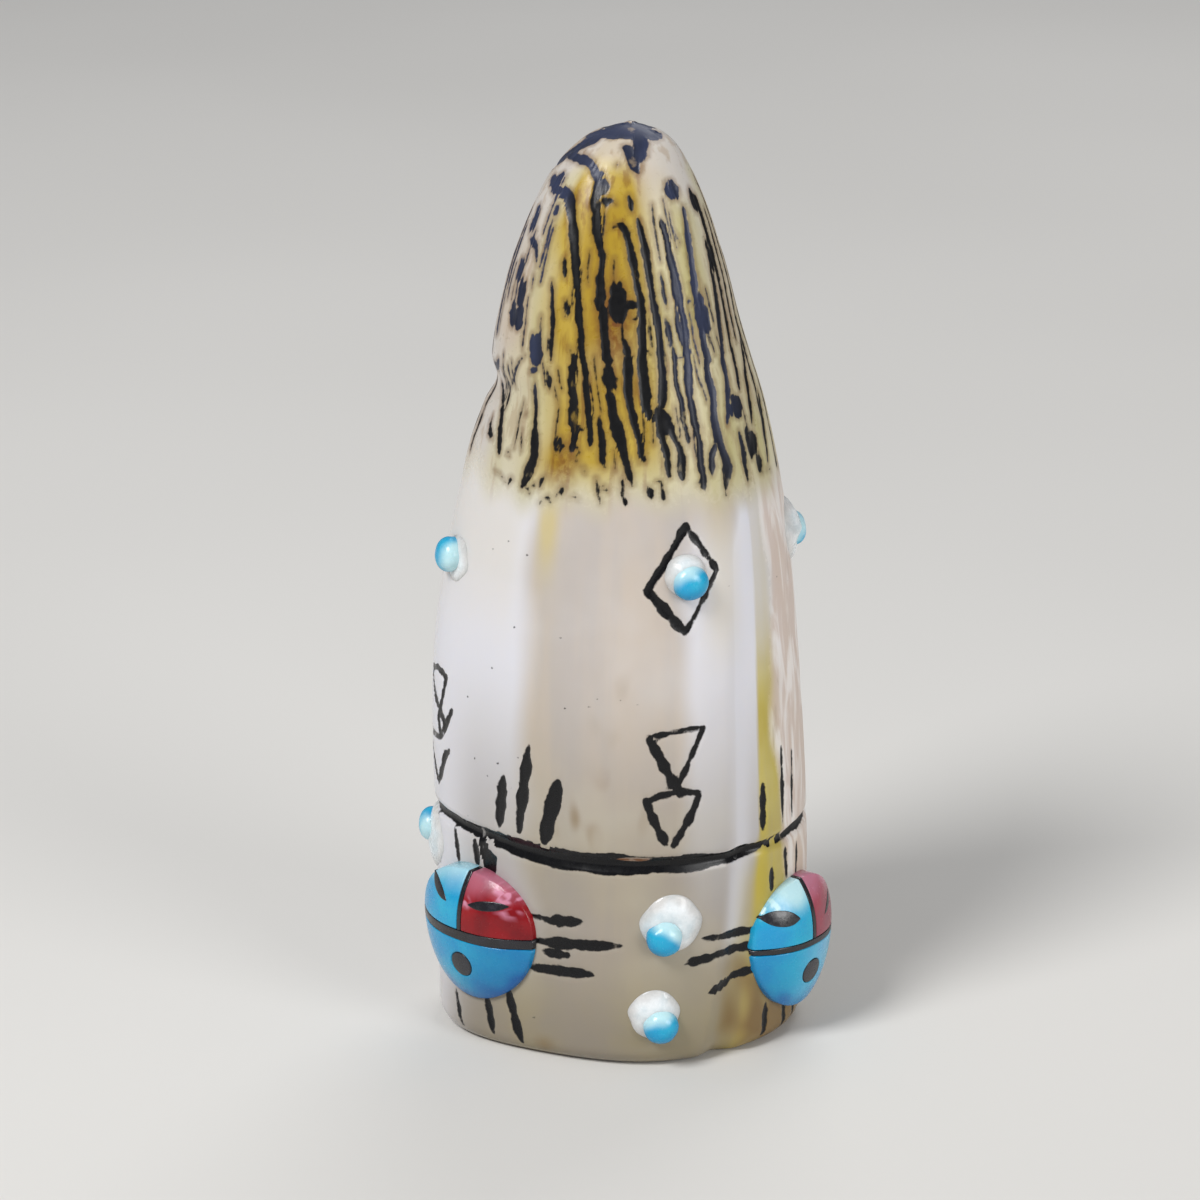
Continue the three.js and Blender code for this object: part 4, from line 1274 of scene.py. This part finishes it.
def stone_rings(inside, centre, hole, bevel, half, lift):
    """Rings over the top of a stone, from its outline in to its centre or its hole."""
    ring = circle(STONE_COLUMNS)
    reach = stone_reach(inside, centre, hole)
    rings = []
    for share in STONE_SHARES + (HOLE_SHARES if hole else ()):
        place = centre + ring * (hole + reach * share)[:, None]
        near = inside(place[:, 0], place[:, 1])
        if hole:
            near = np.minimum(near, reach * share)
        close = np.clip(bevel - near, 0, bevel)
        drop = bevel - np.sqrt(np.maximum(bevel ** 2 - close ** 2, 0))
        level = dome(place[:, 0], place[:, 1], half) + lift - drop
        rings.append(np.column_stack([place, level]))
    return rings


def make_stone(name, frame, inside, centre, hole, bevel, slot, sliver=False):
    """Stone whose outline is where inside() falls to 0, domed with the sun face."""
    point, axes, half = frame
    centre = np.array(centre, float)
    lift = SLIVER_LIFT if sliver else 0.0
    rings = stone_rings(inside, centre, hole, bevel, half, lift)
    floor = rings[0].copy()
    floor[:, 2] = floor[:, 2] - SLIVER_THICK if sliver else -FACE_SUNK
    if hole:
        well = rings[-1].copy()
        well[:, 2] = -FACE_SUNK
        local = np.concatenate([floor] + rings + [well])
        rows = len(rings) + 2
        top = (rows - 1) * STONE_COLUMNS
        faces = ring_faces(rows, STONE_COLUMNS, closed=False)
        faces += [(column, top + column, top + beside, beside)
                  for column, beside in neighbours(STONE_COLUMNS)]
    else:
        under = [*centre, floor[:, 2].mean()]
        crown = [*centre, dome(*centre, half) + lift]
        local = np.concatenate([floor] + rings + [[under], [crown]])
        faces = ring_faces(len(rings) + 1, STONE_COLUMNS)
    stone = add_mesh(name, point + local @ axes, faces)
    colour_stone(stone, local, half, slot)
    stone.data.materials.append(shared(slot + "_stone"))
    return stone


def colour_stone(stone, local, half, slot):
    """Painted highlight on the brow and lit side, white scuffs, and painted shade on the lower edge
    and shaded side of a sun face's stone.
    """
    right = local[:, 0]
    up = local[:, 1]
    mottle = grain(local, 0.8, 6.0)
    speckle = rise(grain(local, 2.6, 8.0), -0.1, 0.5)
    # Painted highlight: the top of each stone is paled as if lit from above.
    milk = 0.75 * rise(up + 0.3 * mottle, 1.9, 3.6)
    # Painted shade: the outer lower edge and the lower part of each stone are deepened.
    deep = 0.55 * rise(face_part(right, up, half) + 0.1 * mottle, 0.72, 1.05) * rise(-up, 0.5, 3.5)
    deep = deep + 0.15 * rise(-up, 1.5, 4.5)
    if slot == "coral":
        milk = 0.8 * milk + (0.25 if "right_face" in stone.name else 0)
    # Painted highlight on the right face's turquoise: its lighter right side and a spot near the
    # top of its brow.
    if slot == "turquoise" and "right_face" in stone.name:
        milk = milk + 0.3 * rise(right, -2.0, 2.0) * (up < 0)
        milk = milk + 0.8 * hump(np.hypot(right + 1.0, up - 2.9), 1.5)
    # Painted shade on the shaded side of each chin: the right of the left face, the left of the
    # right face.
    if "left_face_chin" in stone.name:
        deep = deep + 0.05 + 0.55 * rise(right + 0.4 * mottle, -2.0, 3.5)
    if "right_face_chin" in stone.name:
        deep = deep + 0.25 * rise(-right + 0.4 * mottle, 0.5, 3.0)
    for piece, across, above, reach in SCUFFS:
        if piece in stone.name:
            milk = milk + 1.3 * hump(np.hypot(right - across, up - above), reach) * speckle
    add_values(stone, "milk", clipped(milk))
    add_values(stone, "deep", clipped(deep))


def face_frame(name):
    """Middle, directions and half width of a sun face."""
    turn, height, facing, width, _ = SUN_FACES[name]
    outward = (sin(radians(facing)), -cos(radians(facing)), 0)
    return body_shape().on(turn, height), axes_at(outward), width / 2


def face_stones(half, bar):
    """Each stone of a sun face: part, inside, centre, hole, bevel and slot."""
    bar_top = bar / 2 - BAR_DROP
    bar_foot = -bar / 2 - BAR_DROP
    side = DIVIDER_WIDTH / 2

    def outline(right, up):
        return (1 - face_part(right, up, half)) * half * 0.8

    def above_bar(right, up, beside):
        return np.minimum.reduce([outline(right, up), beside, up - bar_top - STONE_GAP])

    return (
        ("left_brow", lambda right, up: above_bar(right, up, -right - side - STONE_GAP),
         (-2.0, 1.5), 0, 0.07, "turquoise"),
        ("right_brow", lambda right, up: above_bar(right, up, right - side - STONE_GAP),
         (2.0, 1.5), 0, 0.07, "coral"),
        ("divider", lambda right, up: above_bar(right, up, side - np.abs(right)),
         (0, 1.7), 0, 0.03, "jet"),
        ("bar", lambda right, up: np.minimum(outline(right, up), bar / 2 - np.abs(up + BAR_DROP)),
         (0, -BAR_DROP), 0, 0.03, "jet"),
        ("chin", lambda right, up: np.minimum(outline(right, up), bar_foot - STONE_GAP - up),
         (0, -MOUTH_DROP), MOUTH_RADIUS + STONE_GAP, 0.07, "turquoise"),
        ("mouth", lambda right, up: MOUTH_RADIUS - np.hypot(right, up + MOUTH_DROP),
         (0, -MOUTH_DROP), 0, 0.05, "jet"),
    )


def make_sun_face(name):
    """Six stones of a sun face and the jet slivers in its eye slits."""
    frame = face_frame(name)
    for part, inside, centre, hole, bevel, slot in face_stones(frame[2], SUN_FACES[name][4]):
        node = f"{name}_{part}"
        stone = make_stone(node + "_stone", frame, inside, centre, hole, bevel, slot)
        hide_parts(node)
    for side, eye in zip(("left", "right"), EYES[name]):
        sliver = make_stone(f"{name}_{side}_eye", frame, lambda right, up: spindle(right, up, eye),
                            eye[0], 0, 0.04, "jet", sliver=True)


def colour_setting(label, description, red, green, blue):
    """Colour in the panel, from a screen colour."""
    return bpy.props.FloatVectorProperty(name=label, description=description, subtype="COLOR",
                                         default=linear(red, green, blue))


def length_setting(label, description, default):
    """Length in the panel, in metres."""
    return bpy.props.FloatProperty(name=label, description=description, unit="LENGTH",
                                   default=default)


class CarvingBodySettings(bpy.types.PropertyGroup):
    """Size and colours of the carved body."""
    height: length_setting("Height", "Height of the carving", BODY_HIGH[2] - BODY_LOW[2])
    width: length_setting("Width", "Width the body's proportions are taken from", 23.3 * MM)
    depth: length_setting("Depth", "Depth the body's proportions are taken from", 19.2 * MM)
    stone: colour_setting("Stone", "Main colour of the stone", 186, 178, 172)
    amber: colour_setting("Amber", "Colour of the hair cap", 166, 136, 40)
    flank: colour_setting("Flank", "Colour of the yellow right flank", 186, 168, 72)
    ink: colour_setting("Lines", "Colour of the black lines", 8, 8, 11)


class CarvingStoneSettings(bpy.types.PropertyGroup):
    """Colours of the inlaid stones."""
    turquoise: colour_setting("Turquoise", "Colour of the turquoise", 34, 172, 208)
    coral: colour_setting("Coral", "Colour of the coral", 146, 18, 26)
    jet: colour_setting("Jet", "Colour of the jet", 18, 18, 24)


class CarvingStageSettings(bpy.types.PropertyGroup):
    """Floor, lights and camera."""
    floor: colour_setting("Floor", "Colour of the floor", 222, 220, 216)
    floor_size: length_setting("Floor size", "Width of the floor", 3.0)
    distance: length_setting("Camera distance", "From the camera to the carving", 0.25)
    elevation: bpy.props.FloatProperty(
        name="Camera elevation", description="Angle of the camera above the level",
        subtype="ANGLE", unit="ROTATION", default=radians(18))
    light: bpy.props.FloatProperty(
        name="Light", description="Strength of all the lights", default=1.0)


class CARVING_OT_body(bpy.types.Operator):
    """Makes the carved body with its lines and colours"""
    bl_idname = "carving.body"
    bl_label = "Carved body"

    def execute(self, context):
        make_body()
        return {"FINISHED"}


class CARVING_OT_beads(bpy.types.Operator):
    """Makes the turquoise beads"""
    bl_idname = "carving.beads"
    bl_label = "Beads"

    def execute(self, context):
        for name in BEADS:
            make_bead(name)
        return {"FINISHED"}


class CARVING_OT_glue(bpy.types.Operator):
    """Makes the milky glue round the beads"""
    bl_idname = "carving.glue"
    bl_label = "Bead glue"

    def execute(self, context):
        tree = body_tree()
        for name in BEADS:
            make_glue(name, tree)
        return {"FINISHED"}


class CARVING_OT_sun_faces(bpy.types.Operator):
    """Makes the stones of the two sun faces"""
    bl_idname = "carving.sun_faces"
    bl_label = "Sun faces"

    def execute(self, context):
        for name in SUN_FACES:
            make_sun_face(name)
        return {"FINISHED"}


LOOK_HEIGHT = 28.5 * MM
PICTURE_SIZE = 1200
MOVED_RIGHT = -20
MOVED_UP = -21
CAMERA_LENS = 122.4
SENSOR_WIDTH = 36.0
ROOM_COLOUR = (0.86, 0.88, 0.92, 1)
ROOM_STRENGTH = 0.26
# Place, size and power of each light
LIGHTS = {
    "key_light": ((-0.26, -0.26, 0.40), 0.20, 2.15),
    "fill_light": ((0.40, -0.36, 0.20), 0.30, 1.35),
    "back_light": ((0.10, 0.34, 0.40), 0.30, 0.6),
}


def make_floor(colour, size):
    """Plain pale floor."""
    half = size / 2
    mesh = bpy.data.meshes.new("floor")
    corners = [(-half, -half, 0), (half, -half, 0), (half, half, 0), (-half, half, 0)]
    mesh.from_pydata(corners, [], [(0, 1, 2, 3)])
    nodes = Nodes("pale_floor")
    base = nodes.blend(nodes.noise(6, 2), 0.3, 0.7, colour, linear(216, 214, 210))
    nodes.set(Base_Color=base, Roughness=0.85)
    mesh.materials.append(nodes.material)
    add_object("floor", mesh)


def make_lights(strength):
    """Soft studio lights that aim at the carving, and a soft room round them."""
    for name, (place, size, power) in LIGHTS.items():
        light = bpy.data.lights.new(name, "AREA")
        tune(light, energy=power * strength, shape="DISK", size=size)
        aim = Vector((0, 0, LOOK_HEIGHT)) - Vector(place)
        tune(add_object(name, light), location=place,
             rotation_euler=aim.to_track_quat("-Z", "Y").to_euler())
    world = bpy.data.worlds.new("soft_room")
    world.use_nodes = True
    sky = world.node_tree.nodes["Background"]
    sky.inputs["Color"].default_value = ROOM_COLOUR
    sky.inputs["Strength"].default_value = ROOM_STRENGTH * strength
    bpy.context.scene.world = world


def make_camera(distance, elevation):
    """Camera at the angle of the photograph."""
    view = bpy.data.cameras.new("camera")
    tune(view, sensor_width=SENSOR_WIDTH, lens=CAMERA_LENS, shift_x=MOVED_RIGHT / PICTURE_SIZE,
         shift_y=MOVED_UP / PICTURE_SIZE, clip_start=0.01, clip_end=10.0)
    camera = add_object("camera", view)
    camera.location = (0, -distance * cos(elevation), LOOK_HEIGHT + distance * sin(elevation))
    camera.rotation_euler = (pi / 2 - elevation, 0, 0)
    bpy.context.scene.camera = camera


class CARVING_OT_stage(bpy.types.Operator):
    """Makes the floor, the soft lights and the camera"""
    bl_idname = "carving.stage"
    bl_label = "Stage"

    def execute(self, context):
        stage = context.scene.carving_stage
        make_floor(tuple(stage.floor), stage.floor_size)
        make_lights(stage.light)
        make_camera(stage.distance, stage.elevation)
        context.scene.view_settings.view_transform = "Standard"
        return {"FINISHED"}


class CARVING_PT_panel(bpy.types.Panel):
    """Lists the parts of the carving"""
    bl_idname = "CARVING_PT_panel"
    bl_label = "Fetish carving"
    bl_space_type = "VIEW_3D"
    bl_region_type = "UI"
    bl_category = "Carving"

    def draw(self, context):
        scene = context.scene
        for settings in (scene.carving_body, scene.carving_stones, scene.carving_stage):
            box = self.layout.box()
            for name in settings.bl_rna.properties.keys():
                if name not in ("rna_type", "name"):
                    box.prop(settings, name)
        for operator in OPERATORS:
            self.layout.operator(operator.bl_idname)


SETTINGS = (
    ("carving_body", CarvingBodySettings),
    ("carving_stones", CarvingStoneSettings),
    ("carving_stage", CarvingStageSettings),
)
OPERATORS = (CARVING_OT_body, CARVING_OT_beads, CARVING_OT_glue, CARVING_OT_sun_faces,
             CARVING_OT_stage)


def register():
    for name, settings in SETTINGS:
        bpy.utils.register_class(settings)
        setattr(bpy.types.Scene, name, bpy.props.PointerProperty(type=settings))
    for operator in OPERATORS:
        bpy.utils.register_class(operator)
    bpy.utils.register_class(CARVING_PT_panel)


def unregister():
    bpy.utils.unregister_class(CARVING_PT_panel)
    for operator in reversed(OPERATORS):
        bpy.utils.unregister_class(operator)
    for name, settings in reversed(SETTINGS):
        delattr(bpy.types.Scene, name)
        bpy.utils.unregister_class(settings)


def main():
    register()
    bpy.ops.carving.body()
    bpy.ops.carving.beads()
    bpy.ops.carving.glue()
    bpy.ops.carving.sun_faces()
    bpy.ops.carving.stage()
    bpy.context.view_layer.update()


if __name__ == "__main__":
    main()
